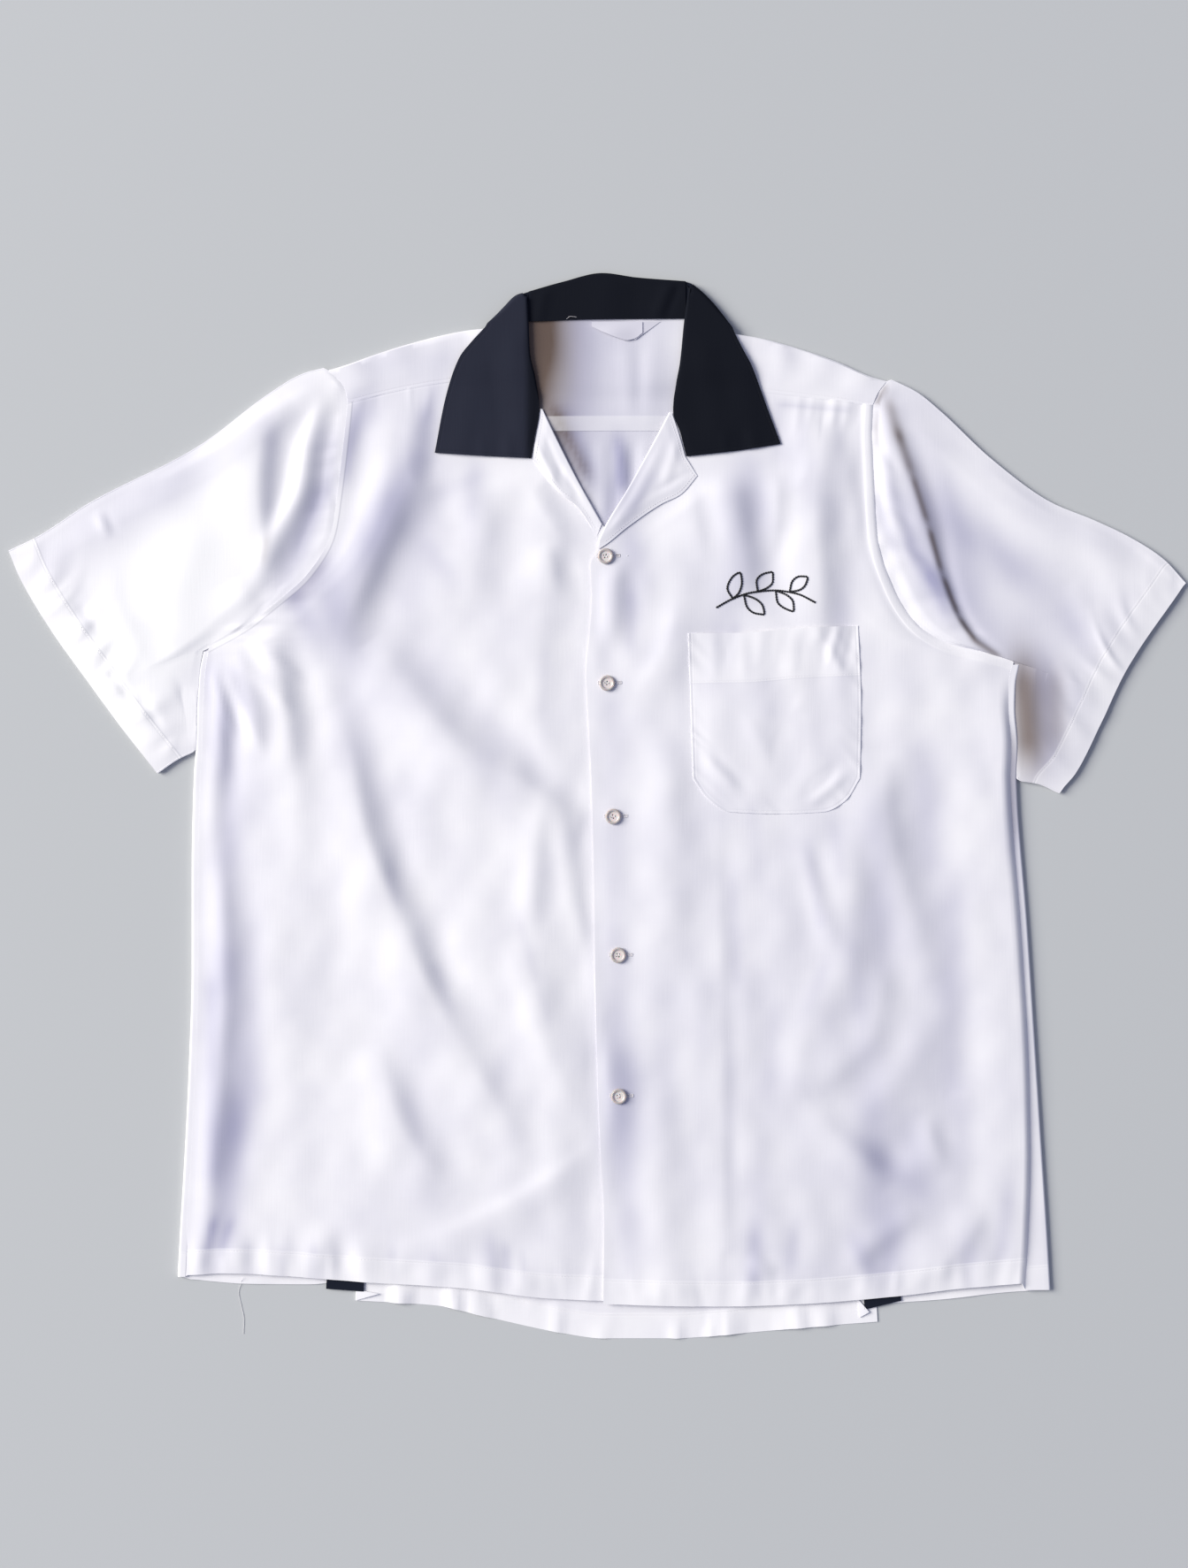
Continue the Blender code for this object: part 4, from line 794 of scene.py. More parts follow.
# Two turned corners at the hem, each a triangle: its corner, its tip and its low end.
FLAPS = (((-174.3, -349.5), (-157.5, -352.6), (-173.6, -357.3)),
         ((189.0, -356.6), (196.9, -365.8), (190.2, -369.8)))
FLAP_STEPS = 8
columns, rows = 96, 150
hem = run(BACK_CENTRE_HEM, columns)
top = np.linspace(*((x, BACK_TOP_Y) for x in CENTRE_TOP), columns + 1)
plan = ruled(hem, top, rows)
x, y = xy(plan)
from_hem = distance_to(hem, x, y)
in_neck, inside_pleats = window(y, 150, 268, 40, 10), window(x, -168, 196, 14)
drawn = np.maximum(puckers(x, from_hem, -170, 200, *PUCKERS["back_hem"], 3), DEEPEST)
height = (BACK + np.maximum(folds(BACK_FOLDS, x, y), -0.15) * in_neck + drawn * inside_pleats
          + neck_loft(x) * ramp((y - 150) / 70))
panels["back"] = lifted(plan, height)
flaps = []
for corner, tip, low in FLAPS:
    edge = np.linspace(corner, low, FLAP_STEPS + 1)
    share = np.linspace(0, 1, FLAP_STEPS + 1)[:, None, None]
    flap = edge[None] + (np.array(tip) - edge[None]) * share * 0.98
    rise = BACK + 0.75 + 0.7 * np.sin(math.pi * 0.5 * share[..., 0])
    flaps.append({"grid": lifted(flap, rise)})
marks = {"hem": from_hem, **painted("neck", x, y)}
cloth("centre_back", [{"grid": panels["back"], "marks": marks}] + flaps,
      white_rayon("back", HEM_LINES), ["back_centre"])

# %% Side backs, rolled round onto the front
for side, sign in SIDES.items():
    outline = side_outline(side)
    seam = inside_armhole(side)[1:ARMHOLE_STEPS + 1]
    rise = inside_armhole(side)[ARMHOLE_STEPS + YOKE_SIDE_STEPS] - seam[-1]
    top_corner = seam[-1] + rise * (BACK_TOP_Y - seam[-1, 1]) / rise[1]
    flat_end = outline.copy()
    flat_end[:, 0] -= sign * ROLL_REACH
    flat_end[-4:] -= np.array([(sign * SLACK, 4 * SEAM)]) * np.linspace(0.25, 1, 4)[:, None]
    outer = np.concatenate([flat_end, seam, top_corner[None]])
    columns = 16
    hem = run(BACK_SIDE_HEM[side], columns)
    hem[-1] = outer[0]
    inner_top = np.array([SIDE_TOP[side], BACK_TOP_Y])
    inner = hem[0] + (inner_top - hem[0]) * np.linspace(0, 1, len(outer))[:, None]
    plan = patch(hem, np.linspace(inner[-1], outer[-1], columns + 1), inner, outer)
    flat = lifted(plan, BACK)
    front_edge, _ = front_side(side)
    onto_front, armpit = outer.copy(), len(outline) - 1
    onto_front[:armpit + 1] = front_edge - (sign * OVERLAP, 0.0)
    onto_front[armpit, 1] = min(onto_front[armpit, 1], outer[armpit, 1])
    outward = np.tile((sign, 0.0), (len(outer), 1))
    wrap = [lifted(outer + (onto_front - outer) * share, FRONT + sign * SEAM_STEP * share ** 3)
            for share in np.linspace(0.0, 1.0, 6)]
    strips = rolled(outer, outward, BACK, FRONT) + wrap
    grid = np.concatenate([flat] + [strip[:, None] for strip in strips], axis=1)
    x, y = xy(grid)
    from_hem = distance_to(hem, x, y)
    span = sorted((hem[0, 0], hem[-1, 0]))
    lift = np.maximum(puckers(x, from_hem, *span, *PUCKERS["side_hem"], 9), -0.1)
    on_floor = np.arange(grid.shape[1]) < columns
    grid[..., 2] += lift * on_floor * ramp(np.abs(x - inner[0, 0]) / 20)
    keep = every_cell(grid)
    keep[armpit:, columns:] = False
    # A small sheet stands behind the armpit's open corner, and a ledge under the left seam.
    low, high = (np.linspace(*(outline[-1] + (sign * reach, up) for reach in (-5.0, 3.5)), 7)
                 for up in (-16.0, 4.0))
    behind = [{"grid": lifted(ruled(low, high, 8), FRONT - (0.65 if side == "left" else 1.0))}]
    if side == "left":
        ledge = np.stack([sign * np.linspace(-5, 1.6, 7), np.zeros(7)], axis=-1)
        under_seam = outline[-SIDE_TUCK_STEPS - 1:-4, None] + ledge
        behind.append({"grid": lifted(under_seam, FRONT - 0.6)})
    marks = {"hem": from_hem, **painted("side", x, y)}
    cloth(f"side_back_{side}", [{"grid": grid, "keep": keep, "marks": marks}] + behind,
          white_rayon(f"side_{side}", HEM_LINES), [f"back_side_{side}"])

# %% Black insets of the pleats
for side, corners in INSET.items():
    plan = ruled(np.linspace(*corners[:2], 11), np.linspace(*corners[2:], 11), 120)
    cloth(f"pleat_inset_{side}", [{"grid": lifted(plan, BACK + LAYER)}],
          black_rayon(f"inset_{side}"), [f"gusset_{side}"])


# %% [markdown]
# ## The yoke
# The yoke is two thicknesses of cloth over the shoulders. Its back half lies at the
# bottom of the stack and lifts over the hidden edge of the collar; at each shoulder it
# turns over and comes forward to the front seam. One grid carries the whole turn, and
# the cells over the neck are left out. Inside the neck the cloth is painted brown and
# lilac: painted shade under the collar, with a little yellowing of age.

# %% Where the collar lies under the yoke
FALL_DROP_MIDDLE, FALL_HALF_WIDTH = 8.0, 88.0
FALL_EDGE_Y, FALL_EDGE_RISE = 319.0, 27.0


def collar_under(x, y):
    """1 where the collar's back lies under the yoke, 0 away from it: a soft step at the
    collar's hidden edge, which rises with the square of the distance from its middle."""
    reach = np.abs(x - FALL_DROP_MIDDLE) - FALL_HALF_WIDTH
    share = (x - FALL_DROP_MIDDLE) / FALL_HALF_WIDTH
    free_edge = FALL_EDGE_Y + FALL_EDGE_RISE * share ** 2
    return ramp((y - free_edge + 32.0) / 16.0) * ramp(1.0 - (reach - 3.0) / 14.0)


# %% The yoke's edges on both sides
tops, seams, outwards, sides_up, neck_sides = {}, {}, {}, {}, {}
for side, sign in SIDES.items():
    tops[side] = run(SHOULDER[side], YOKE_COLUMNS)
    outwards[side] = normals(tops[side], -sign)
    tops[side] = tops[side] - outwards[side] * ROLL_REACH
    seams[side] = run(YOKE_SEAM[side], YOKE_COLUMNS) - (0.0, OVERLAP)
    sides_up[side] = inside_armhole(side)[ARMHOLE_STEPS:]
    tops[side][0] = sides_up[side][-1]
    seams[side][0] = sides_up[side][YOKE_SIDE_STEPS]
    neck_sides[side] = run(YOKE_NECK[side], SHOULDER_STEPS)
    neck_sides[side][-1], neck_sides[side][0] = tops[side][-1], seams[side][-1]
neck = np.linspace(tops["left"][-1], tops["right"][-1], NECK_COLUMNS + 1)
neck[1:-1, 1] = NECKLINE_Y
top = join(tops["left"], neck, tops["right"][::-1])

# %% The yoke as one grid, turned over at the shoulders
seam_line = np.linspace(sides_up["left"][0], sides_up["right"][0], len(top))
back = patch(seam_line, top, sides_up["left"], sides_up["right"])
x, y = xy(back)
over_seam = ramp(1.0 - (y - BACK_TOP_Y - 9.0) / 12.0)
at_edge = ramp(1.0 - (y - BACK_SEAM_Y) / 9.0)
puffed = neck_loft(x) * ramp((334 - y) / 30)
back_z = BACK + LAYER * np.maximum(over_seam, collar_under(x, y)) - at_edge + puffed
NECK_FOLDS = ridges("""20 335 24 285 0.45 6, 42 340 38 290 0.35 7, -8 338 -6 292 0.3 8,
    31 330 31 290 -0.3 4""")
back_z = back_z + folds(NECK_FOLDS, x, y) * ramp((347 - y) / 8)
outward = np.zeros_like(top)
outward[:YOKE_COLUMNS + 1] = outwards["left"]
outward[-YOKE_COLUMNS - 1:] = outwards["right"][::-1]
fold_z = back_z[-1]
bands = [lifted(back, back_z)]
for angle in FOLD_ANGLES:
    bands.append(lifted(top + outward * (ROLL * math.cos(angle)),
                        fold_z + ROLL * (1 + math.sin(angle)))[None])
front = np.zeros((SHOULDER_STEPS + 1, len(top), 2))
for side in SIDES:
    layer = patch(seams[side], tops[side], sides_up[side][YOKE_SIDE_STEPS:],
                  neck_sides[side])[::-1]
    if side == "left":
        front[:, :YOKE_COLUMNS + 1] = layer
    else:
        front[:, -YOKE_COLUMNS - 1:] = layer[:, ::-1]
sink = 1.0 - ramp(np.linspace(-0.25, 1.0, SHOULDER_STEPS + 1))[:, None]
high = fold_z + 2 * ROLL
x, y = xy(front)
under_leaf = ramp((np.abs(x - 8.0) - 112.0) / 20.0)
loose = 0.35 * (1 + drift(x, y, 45, 60, 1.0, 21)) * under_leaf
front_z = FRONT + 0.08 + (high - FRONT) * sink + loose * ramp(sink * 3)
bands.append(lifted(front, front_z))
panels["yoke_left"] = bands[-1][:, :YOKE_COLUMNS + 1]
panels["yoke_right"] = bands[-1][:, -YOKE_COLUMNS - 1:]
grid = np.concatenate(bands)
keep = every_cell(grid)
keep[len(back) - 1:, YOKE_COLUMNS:YOKE_COLUMNS + NECK_COLUMNS] = False
x, y = xy(grid)
back_seam, front_seam = np.full(x.shape, FAR), np.full(x.shape, FAR)
back_seam[:len(back)] = y[:len(back)] - BACK_SEAM_Y
for side in SIDES:
    reached = distance_to(seams[side], x, y)
    front_seam[-SHOULDER_STEPS - 1:] = np.minimum(front_seam, reached)[-SHOULDER_STEPS - 1:]
behind_neck = np.arange(len(grid))[:, None] < len(back) + 3
# The yoke takes the neck's painted shade and brown shadow behind the neck, and the front's
# elsewhere.
shown_in_neck, shown_in_front = painted("neck", x, y), painted("front", x, y)
marks = {"seam": back_seam, "front_seam": front_seam}
for mark in shown_in_neck:
    marks[mark] = np.where(behind_neck, shown_in_neck[mark], shown_in_front[mark])
cloth("shoulder_yoke", [{"grid": grid, "keep": keep, "marks": marks}],
      white_rayon("yoke", [("seam", 11.5, "step"), ("front_seam", 2.0, "groove")]),
      ["yoke"])


# %% [markdown]
# ## The fronts
# Each front is flat at its seams and loose in its middle. Folds run down from the
# shoulder and slant towards the buttons, where the cloth is held. A table for each front
# lists them as curved lines, every one with its height and the width of its two sides.
# Simulating the cloth would fold it somewhere; placing the folds puts them where this
# shirt has them. The right front lies over the left one, so one lap lifts it there.

# %% Folds of the fronts
FRONT_CREASES = both(creases, """-190 70 0 24 11, -178 30 2.6 28 11, -170 -15 3.9 30 11,
    -156 -52 4.7 30 11, -141 -88 2.9 28 14, -127 -122 4 26 10, -112 -152 2.8 26 12,
    -99 -174 2 26 13, -82 -203 2.5 24 11, -68 -226 1.4 22 12, -56 -246 0 20 12;
    -165 118 0 18 10, -150 98 2.4 20 14, -125 67 4.2 24 16, -96 36 4.8 24 16, -68 21 3.8 22 14,
    -43 7 2.6 20 9, -16 -9 1.2 16 9, -4 -14 0 14 9;
    -124 256 0 18 12, -140 228 2.6 20 13, -153 200 3.8 20 13, -166 172 3.8 20 13,
    -179 142 2.4 20 12, -190 112 0 18 12;
    -284 110 0 8 7, -273 82 1.9 9 8, -276 40 2.2 9 8, -281 0 1.5 9 8, -281 -40 0 9 8;
    -262 116 0 10 7, -257 95 1.8 12 7, -247 65 1.8 12 7, -242 30 0 12 7;
    -278 -28 0 12 10, -273 -60 2 14 10, -270 -130 2.5 15 11, -274 -200 2.5 15 11,
    -284 -290 1.8 12 10, -288 -334 0.6 10 8;
    -238 124 0 16 9, -230 90 3.2 20 10, -223 40 3.2 22 12, -220 5 1.9 24 16, -222 -50 1.2 26 20,
    -226 -120 1.1 26 22, -231 -220 0.8 26 22, -234 -300 0.3 24 16;
    -160 -172 0 16 10, -153 -198 2 20 11, -144 -228 2.6 22 11, -127 -256 1.9 20 11,
    -102 -282 0 18 10;
    -62 -96 0 11 17, -53 -125 1.7 12 18, -40 -160 2.2 12 20, -26 -190 1.5 12 22,
    -12 -225 0.5 11 10, 0 -250 0 10 8;
    -42 0 0 9 6, -45 -30 1.2 10 8, -47 -60 1.3 10 8, -46 -96 0 9 6;
    -27 4 0 8 5, -23 -35 1 8 8, -16 -70 1 8 8, -9 -104 0 8 6;
    2 -244 0.3 7 12, -30 -268 1.1 7 14, -69 -291 1.2 7 15, -110 -310 0.8 7 14, -146 -323 0 7 12;
    -38 190 0 12 8, -34 170 1.7 13 8, -31 146 0 12 8;
    -88 236 0 14 12, -84 205 1.6 16 13, -92 165 1.4 16 13, -104 130 0 14 12;
    -190 -300 0 12 9, -200 -318 1.2 12 9, -206 -338 0.8 11 8""",
    """97 250 0 14 11, 98 225 1.9 16 12, 102 195 2.5 16 12, 106 165 1.8 15 11, 107 143 0 14 10;
    126 264 0 9 6, 129 240 0.8 9 6, 128 205 0.9 9 6, 124 176 0 9 6;
    62 246 0 9 7, 66 225 0.8 10 7, 72 196 0.8 10 7, 76 172 0 9 7;
    184 268 0 9 7, 182 240 0.9 10 7, 186 205 0.8 10 7, 184 176 0 9 7;
    206 196 0 8 7, 208 172 0.9 9 7, 214 146 0.8 9 7, 226 122 0 8 7;
    160 258 0.4 18 12, 156 215 2.2 22 12, 157 190 3 22 12, 160 150 2.4 20 11, 159 110 0 18 10;
    13 186 0 8 7, 12 165 2.1 9 8, 10 135 1.9 9 8, 8 112 0 8 8;
    60 152 0 9 14, 56 125 1.7 9 16, 44 100 1.7 9 16, 30 78 0 9 14;
    207 40 0 14 9, 206 5 2.4 16 11, 210 -28 2.7 16 12, 217 -57 2.2 16 13, 228 -90 1.3 15 13,
    244 -128 0 14 12;
    86 4 0 12 5, 86 -45 0.5 14 6, 88 -105 0.7 15 6, 89 -170 0.6 16 6, 90 -260 0.5 15 5,
    91 -318 0.3 12 5;
    149 -28 0 8 6, 153 -45 0.8 8 6, 163 -80 0.9 8 6, 171 -104 0 8 6;
    182 -14 0 16 13, 182 -60 2.2 18 14, 182 -115 2.3 18 14, 186 -152 0 16 13;
    206 -114 0 13 9, 202 -140 1.5 14 10, 194 -168 1.9 14 11, 172 -190 1.6 13 11, 154 -206 0 12 9;
    240 -140 0 15 16, 228 -175 1.5 16 17, 214 -205 1.3 15 16, 222 -232 0 13 14;
    148 -214 0 11 8, 170 -238 1.2 12 8, 190 -254 1.9 13 9, 202 -266 0.8 12 9, 208 -276 0 10 8;
    216 -232 0 11 13, 215 -250 -1.6 12 14, 213 -268 0 11 13;
    160 -118 0 12 15, 157 -145 1.9 13 17, 147 -190 1.9 13 17, 138 -218 0 12 15;
    14 -160 0 9 14, 9 -188 0.8 10 16, 13 -212 0.9 10 16, 24 -242 0 10 14;
    236 -222 0 10 7, 240 -240 1.6 10 7, 251 -266 0 10 7;
    230 -288 0 9 8, 222 -298 1.1 9 8, 196 -318 1.2 9 8, 183 -332 0 8 8;
    276 -288 0 16 8, 268 -306 1.3 18 9, 252 -326 1.4 20 10, 236 -342 0.6 18 10;
    110 -324 0 6 5, 118 -332 1.4 6 5, 130 -338 0 6 5;
    52 60 0 14 12, 50 10 1.5 16 14, 56 -60 1.3 16 14, 52 -120 0 14 12;
    40 -196 0 12 12, 46 -240 1.6 14 14, 44 -300 1.4 14 14, 46 -345 0.5 12 12""")
# What differs between the fronts: how the loft fades from the side, the front edge, the
# hem and the yoke seam, the seed, and how far from the armhole its doubled seam ends.
LOFT_FADES = {"left": (FADE, FADE, FADE, FADE), "right": (FADE, 80, FADE, FADE)}
FRONT_SEED, ARM_LINE = {"left": 31, "right": 47}, {"left": 3.4, "right": 6.4}
CREASE_FADES = (22, 12, 30, 30)
# The right front's cloth stands up beside its side seam.
SIDE_ROLL = table("y rise reach", """-360 2.2 36, -325 2.8 36, -235 3.3 34, -150 3.2 33, -57 3 31,
    10 3.3 27, 45 3.2 26, 72 1.9 24, 98 0 20, 320 0 18""")
# The left front's cloth rises to the edge that lies on it.
PLACKET_ROLL = table("x y height west east", """2 -104 0 14 30, 2 -140 0.7 16 30, 1 -235 0.7 16 30,
    0 -268 0 14 30""")
GATHERS = ridges("""118 297 116 286 0.2 3, 128 296 126 276 0.3 2.8, 137 295 135 283 -0.2 3,
    146 294 143 272 0.36 3.2, 156 293 154 281 0.2 2.8, 165 292 162 275 -0.25 3,
    173 291 170 278 0.3 3.2, 182 290 179 276 0.25 3, 190 289 187 278 -0.2 3,
    -120 300 -122 284 0.7 3, -98 305 -99 288 0.6 3.2, -278 97 -262 52 0.9 4,
    -269 100 -240 39 0.8 4.5, -259 106 -221 71 0.8 4, -248 118 -214 92 0.9 3.6,
    -275 114 -268 14 0.6 5""")

# %% Shape of the fronts
LEAVES_BOX = ((8, 122), (314, 66))          # middle and half width, middle and half height
LAPELS_LINE = np.array([(4.0, 192.0), (22.0, 240.0)])
LAP_CLIMB, LAP_TOP, LAP_TOP_FADE = 60.0, 240.0, 28.0
ARM_STEP = 3.6                              # mm from one armhole point to the next


def clear_of_collar(x, y):
    """0 under the collar and lapels, 1 at 24 mm from them: a soft S of the distance to a
    box round the leaves and to a line down the lapels, whichever is less."""
    (middle_x, half_x), (middle_y, half_y) = LEAVES_BOX
    from_leaves = np.hypot(np.maximum(np.abs(x - middle_x) - half_x, 0),
                           np.maximum(np.abs(y - middle_y) - half_y, 0))
    from_lapels = distance_to(LAPELS_LINE, x, y)
    from_lapels = np.maximum(from_lapels - 8 - 34 * ramp((y - 188) / 50), 0)
    return ramp(np.minimum(from_leaves, from_lapels) / 24)


def lap_height(x, y):
    """Rise of the right front where it lies on the edge of the left one."""
    under = np.interp(y, UNDER_EDGE["y"], UNDER_EDGE["x"])
    return (LAP * ramp(1.0 - (x - under - 4.0) / LAP_CLIMB)
            * ramp((LAP_TOP - y) / LAP_TOP_FADE))


def front_plan(side):
    """A front in plan, from its side edge to its front edge and neck."""
    edge, upper = front_side(side)
    outer = join(edge, upper)
    line = UNDER_EDGE if side == "left" else TOP_EDGE
    roll_steps, neck_steps = 34, 8
    inner = join(run(line, len(outer) - 1 - roll_steps - neck_steps),
                 run(LAPEL_ROLL[side], roll_steps), run(NECK_EDGE[side], neck_steps))
    hem = run(FRONT_HEM[side], FRONT_COLUMNS)
    top = run(YOKE_SEAM[side], FRONT_COLUMNS)
    hem[0], hem[-1] = outer[0], inner[0]
    top[0], top[-1] = outer[-1], inner[-1]
    return patch(hem, top, outer, inner)


def front_height(side, plan):
    """Middle of a front's cloth: the layer's height, its loft and creases faded out towards
    the seams, then drift and puckers that reach closer to them."""
    x, y = xy(plan)
    from_side, to_edge, from_hem, to_seam = edges_away(plan)
    shown_edge = to_edge
    if side == "left":
        shown = np.interp(y, TOP_EDGE["y"], TOP_EDGE["x"]) - x - LAP
        shown_edge = np.where(y < UNDER_EDGE["y"][-1], shown, to_edge)
    quiet = clear_of_collar(x, y)
    loft = kept_off((from_side, shown_edge, from_hem, to_seam), LOFT_FADES[side],
                    (0, 0, 0.35, 0))
    free = kept_off((from_side, shown_edge + 2, from_hem, to_seam), CREASE_FADES,
                    (0, 0, 0.45, 0))
    seed = FRONT_SEED[side]
    creased = sum(crease(rows, x, y) for rows in FRONT_CREASES[side])
    for waves in ((46, 260, 0.14, seed), (38, 60, 0.12, seed + 9), (120, 160, 0.25, seed + 1)):
        creased = creased + drift(x, y, *waves)
    loose = LOFT * loft + creased * free
    span = sorted((plan[0, 0, 0], plan[0, -1, 0]))
    hem_line = puckers(x, from_hem - 10, *span, *PUCKERS[f"{side}_hem"], seed + 2)
    top_line = puckers(x, to_seam, *span, *PUCKERS["yoke_seam"], seed + 3)
    top_line = folds(GATHERS, x, y) + top_line
    arm = inside_armhole(side)[:ARMHOLE_STEPS]
    around = np.interp(y, arm[:, 1], np.arange(len(arm)) * ARM_STEP)
    arm_line = puckers(around, distance_to(arm, x, y), 0, 90, *PUCKERS["armhole"], seed + 4)
    arm_line *= (side == "left") * window(y, 60, 190, 40, 60)
    drawn = (hem_line * ramp(shown_edge / 6) + top_line * quiet * ramp(to_edge / 20)
             + arm_line * ramp((from_side - 2) / 4))
    if side == "left":
        drawn = drawn + crease(PLACKET_ROLL, x, y)
    height = FRONT + np.maximum(loose * quiet + drawn, DEEPEST)
    height = height - SIDES[side] * SEAM_STEP * ramp(1 - from_side / 3) * ramp((104 - y) / 4)
    from_arm = distance_to(inside_armhole(side), x, y)
    if side == "left":
        height = height + SEAM_RIDGE * np.exp(-(from_arm / 11) ** 2) * ridge_reach(y)
    if side == "right":
        band = 0.55 * ramp(from_arm / 1.5) * ramp((8.2 - from_arm) / 3.2) * ramp((y - 112) / 20)
        rise, reach = (through(SIDE_ROLL["y"], SIDE_ROLL[name], y) for name in ("rise", "reach"))
        side_roll = rise * ramp(from_side / 6) * np.exp(-(from_side / reach) ** 2)
        height = height + band + side_roll + lap_height(x, y)
    return height


# %% Both fronts
for side in SIDES:
    plan = front_plan(side)
    panels[side] = lifted(plan, front_height(side, plan))
    x, y = xy(plan)
    marks = {"hem": distance_to(plan[0], x, y), "top": distance_to(plan[-1], x, y),
             "arm": distance_to(inside_armhole(side), x, y), **painted("front", x, y)}
    lines = HEM_LINES + [("top", 1.6, "groove"), ("arm", ARM_LINE[side], "step")]
    cloth(f"front_panel_{side}", [{"grid": panels[side], "marks": marks}],
          white_rayon(f"front_{side}", lines), [f"front_{side}"])


# %% [markdown]
# ## The lapels
# The facing is cut in one with the front and turned back along the roll line, so it
# shows the cloth's other face. It lies one layer above the front. Near the roll its
# edge curves down to meet the front; its free edge is topped with a row of stitches.

# %% Lapels
LAPEL_EDGE = both(courses, """-40.6 287, -43.9 266.4, -46.5 251.1;
    -46.5 251.1, -28.6 227.4, -13.2 215.2, 0 194.5""",
    """53.6 285.2, 58.8 269.6, 63.7 252.2;
    63.7 252.2, 72.5 238.3;
    72.5 238.3, 60.4 224.8, 46.3 217.8, 21.3 200.5, 7.9 189.6, 1.4 185.4""")
LAPEL_EDGE_STEPS = {"left": (14, 50), "right": (12, 6, 48)}
LAPEL_FOOT = both(course, "3.2 203, -15.8 237.2, -31.8 269, -40 286.4",
    "2.4 191.5, 6.6 200.5, 23.2 228, 39.2 256.8, 53.4 283.6")

LAPEL_CREASES = both(ridges, """-44 262 -30 232 0.7 3, -38 268 -24 236 -0.4 2.6,
    -34 240 -18 214 0.8 3.2, -28 246 -12 222 -0.4 3, -22 226 -8 206 0.5 3""",
    "58 262 50 236 0.6 4, 66 240 44 228 -0.4 3, 44 254 30 226 0.5 5, 30 224 14 204 0.4 4")
# Angles of the rows that carry a lapel's roll down to the front.
LAPEL_DOWN = np.radians((70, 35, 0, -35))
LAPEL_REACH, LAPEL_AREA = {"left": 0.3, "right": 0.7}, {"left": 0.0016, "right": 0.0026}
for side, sign in SIDES.items():
    edge = join(*map(run, LAPEL_EDGE[side], LAPEL_EDGE_STEPS[side]))[::-1]
    roll = run(LAPEL_FOOT[side], len(edge) - 1)
    plan = patch(*(np.linspace(edge[end], roll[end], 23) for end in (0, -1)), edge, roll)
    x, y = xy(plan)
    free = distance_to(edge, x, y)
    height = (TURNED + folds(LAPEL_CREASES[side], x, y) * ramp(walked(plan, 1, back=True) / 5)
              - 0.6 * ramp(1 - free / 8))
    height = height + (lap_height(x, y) if side == "right" else -0.7 * ramp((214 - y) / 16))
    radius = (height[:, -1] - FRONT - 0.62 - (lap_height(*roll.T) if side == "right" else 0)) / 2
    away = normals(roll, sign)
    panels[f"lapel_{side}"] = lifted(plan, height)
    down = [lifted(roll + away * (0.3 + LAPEL_REACH[side] * math.cos(angle)),
                   height[:, -1] - radius * (1 - math.sin(angle))) for angle in LAPEL_DOWN]
    grid = np.concatenate([lifted(plan, height)] + [row[:, None] for row in down], axis=1)
    cloth(f"turned_lapel_{side}", [{"grid": grid, "marks": painted("front", *xy(grid))}],
          white_rayon(f"lapel_{side}"), [f"lapel_{side}"])


# %% [markdown]
# ## The collar
# One black collar: a stand that shows inside the neck, a roll along its top, a fall
# that hides behind the neck, and two leaves that lie open over the fronts. Sewn camp
# collars are one piece like this. The grid goes from the left leaf, round the shoulder
# fold, along the back, and out to the right leaf, with the unused cells left out.

# %% Edges and creases of the collar
LEAF_ROWS, LEAF_COLUMNS, FAN_ROWS = 46, 26, 9
LEAF_FREE = both(course, "-116.9 254.9, -108.6 296.5, -99 323.4, -91.3 333.6, -79 347",
    "132.7 261.3, 123.1 286.9, 111.6 317.6, 105 330, 98 344")
LEAF_FRONT_END = both(course, "-116.9 254.9, -80 252.6, -47.2 251.1",
    "132.7 261.3, 99.4 256.2, 64.6 252.4")
LEAF_INNER = both(course, """-47.2 251.1, -44.6 266.4, -41.4 286, -44 308, -48.2 327.2, -49.1 348,
    -50 366""",
    "64.6 252.4, 60.2 269.6, 55 285, 57.2 304.8, 59.9 319.6, 62.9 349, 66 372.5")
LEAF_SHOULDER_FOLD = both(course, "-79 347.8, -67.5 360.5, -58 369.4, -52.5 371.2",
    "98 344.6, 88.5 358.5, 77.5 370.5, 68.5 378")
# Back of the collar: the fold at the top, the neck seam, the hidden free edge.
COLLAR_TOP = course("-49 372.2, -24.8 379.1, 4 385.5, 29 382.3, 64 379.6")
STAND_SEAM = course("-50.5 349.8, -5.6 351.4, 64.5 352")
FALL_FREE = course("-46 326, 8 319, 61 326")
FOLD_OPENS = 2.5                # the leaf's fold is open after 1 / 2.5 of its length
# Along the gorge seam the leaf is flat beside the lapel; above it, it rolls.
GORGE_Y, GORGE_FADE = 290.0, 14.0

COLLAR_CREASES = ridges("""60 378 50 353 -0.45 2.6, 54 380 43 354 0.8 4.5, -38 372 -42 352 0.7 5,
    8 381 6 356 0.5 12, 30 380 27 354 -0.3 8""")
LEAF_CREASES = ridges("""-60 340 -54 262 0.5 8, -92 300 -98 256 0.5 9, -76 320 -70 268 -0.3 6,
    -83 262 -82 251 0.4 3, -72 262 -71 251 -0.3 3, -64 263 -63 251 0.4 3, 76 335 86 262 0.5 9,
    104 310 116 258 0.4 9, 92 266 93 255 0.4 3, 104 268 106 256 -0.3 3, 112 268 114 257 0.35 3""")
QUARTER = np.radians((0, 25, 50, 75))
STAND_STEPS = 12


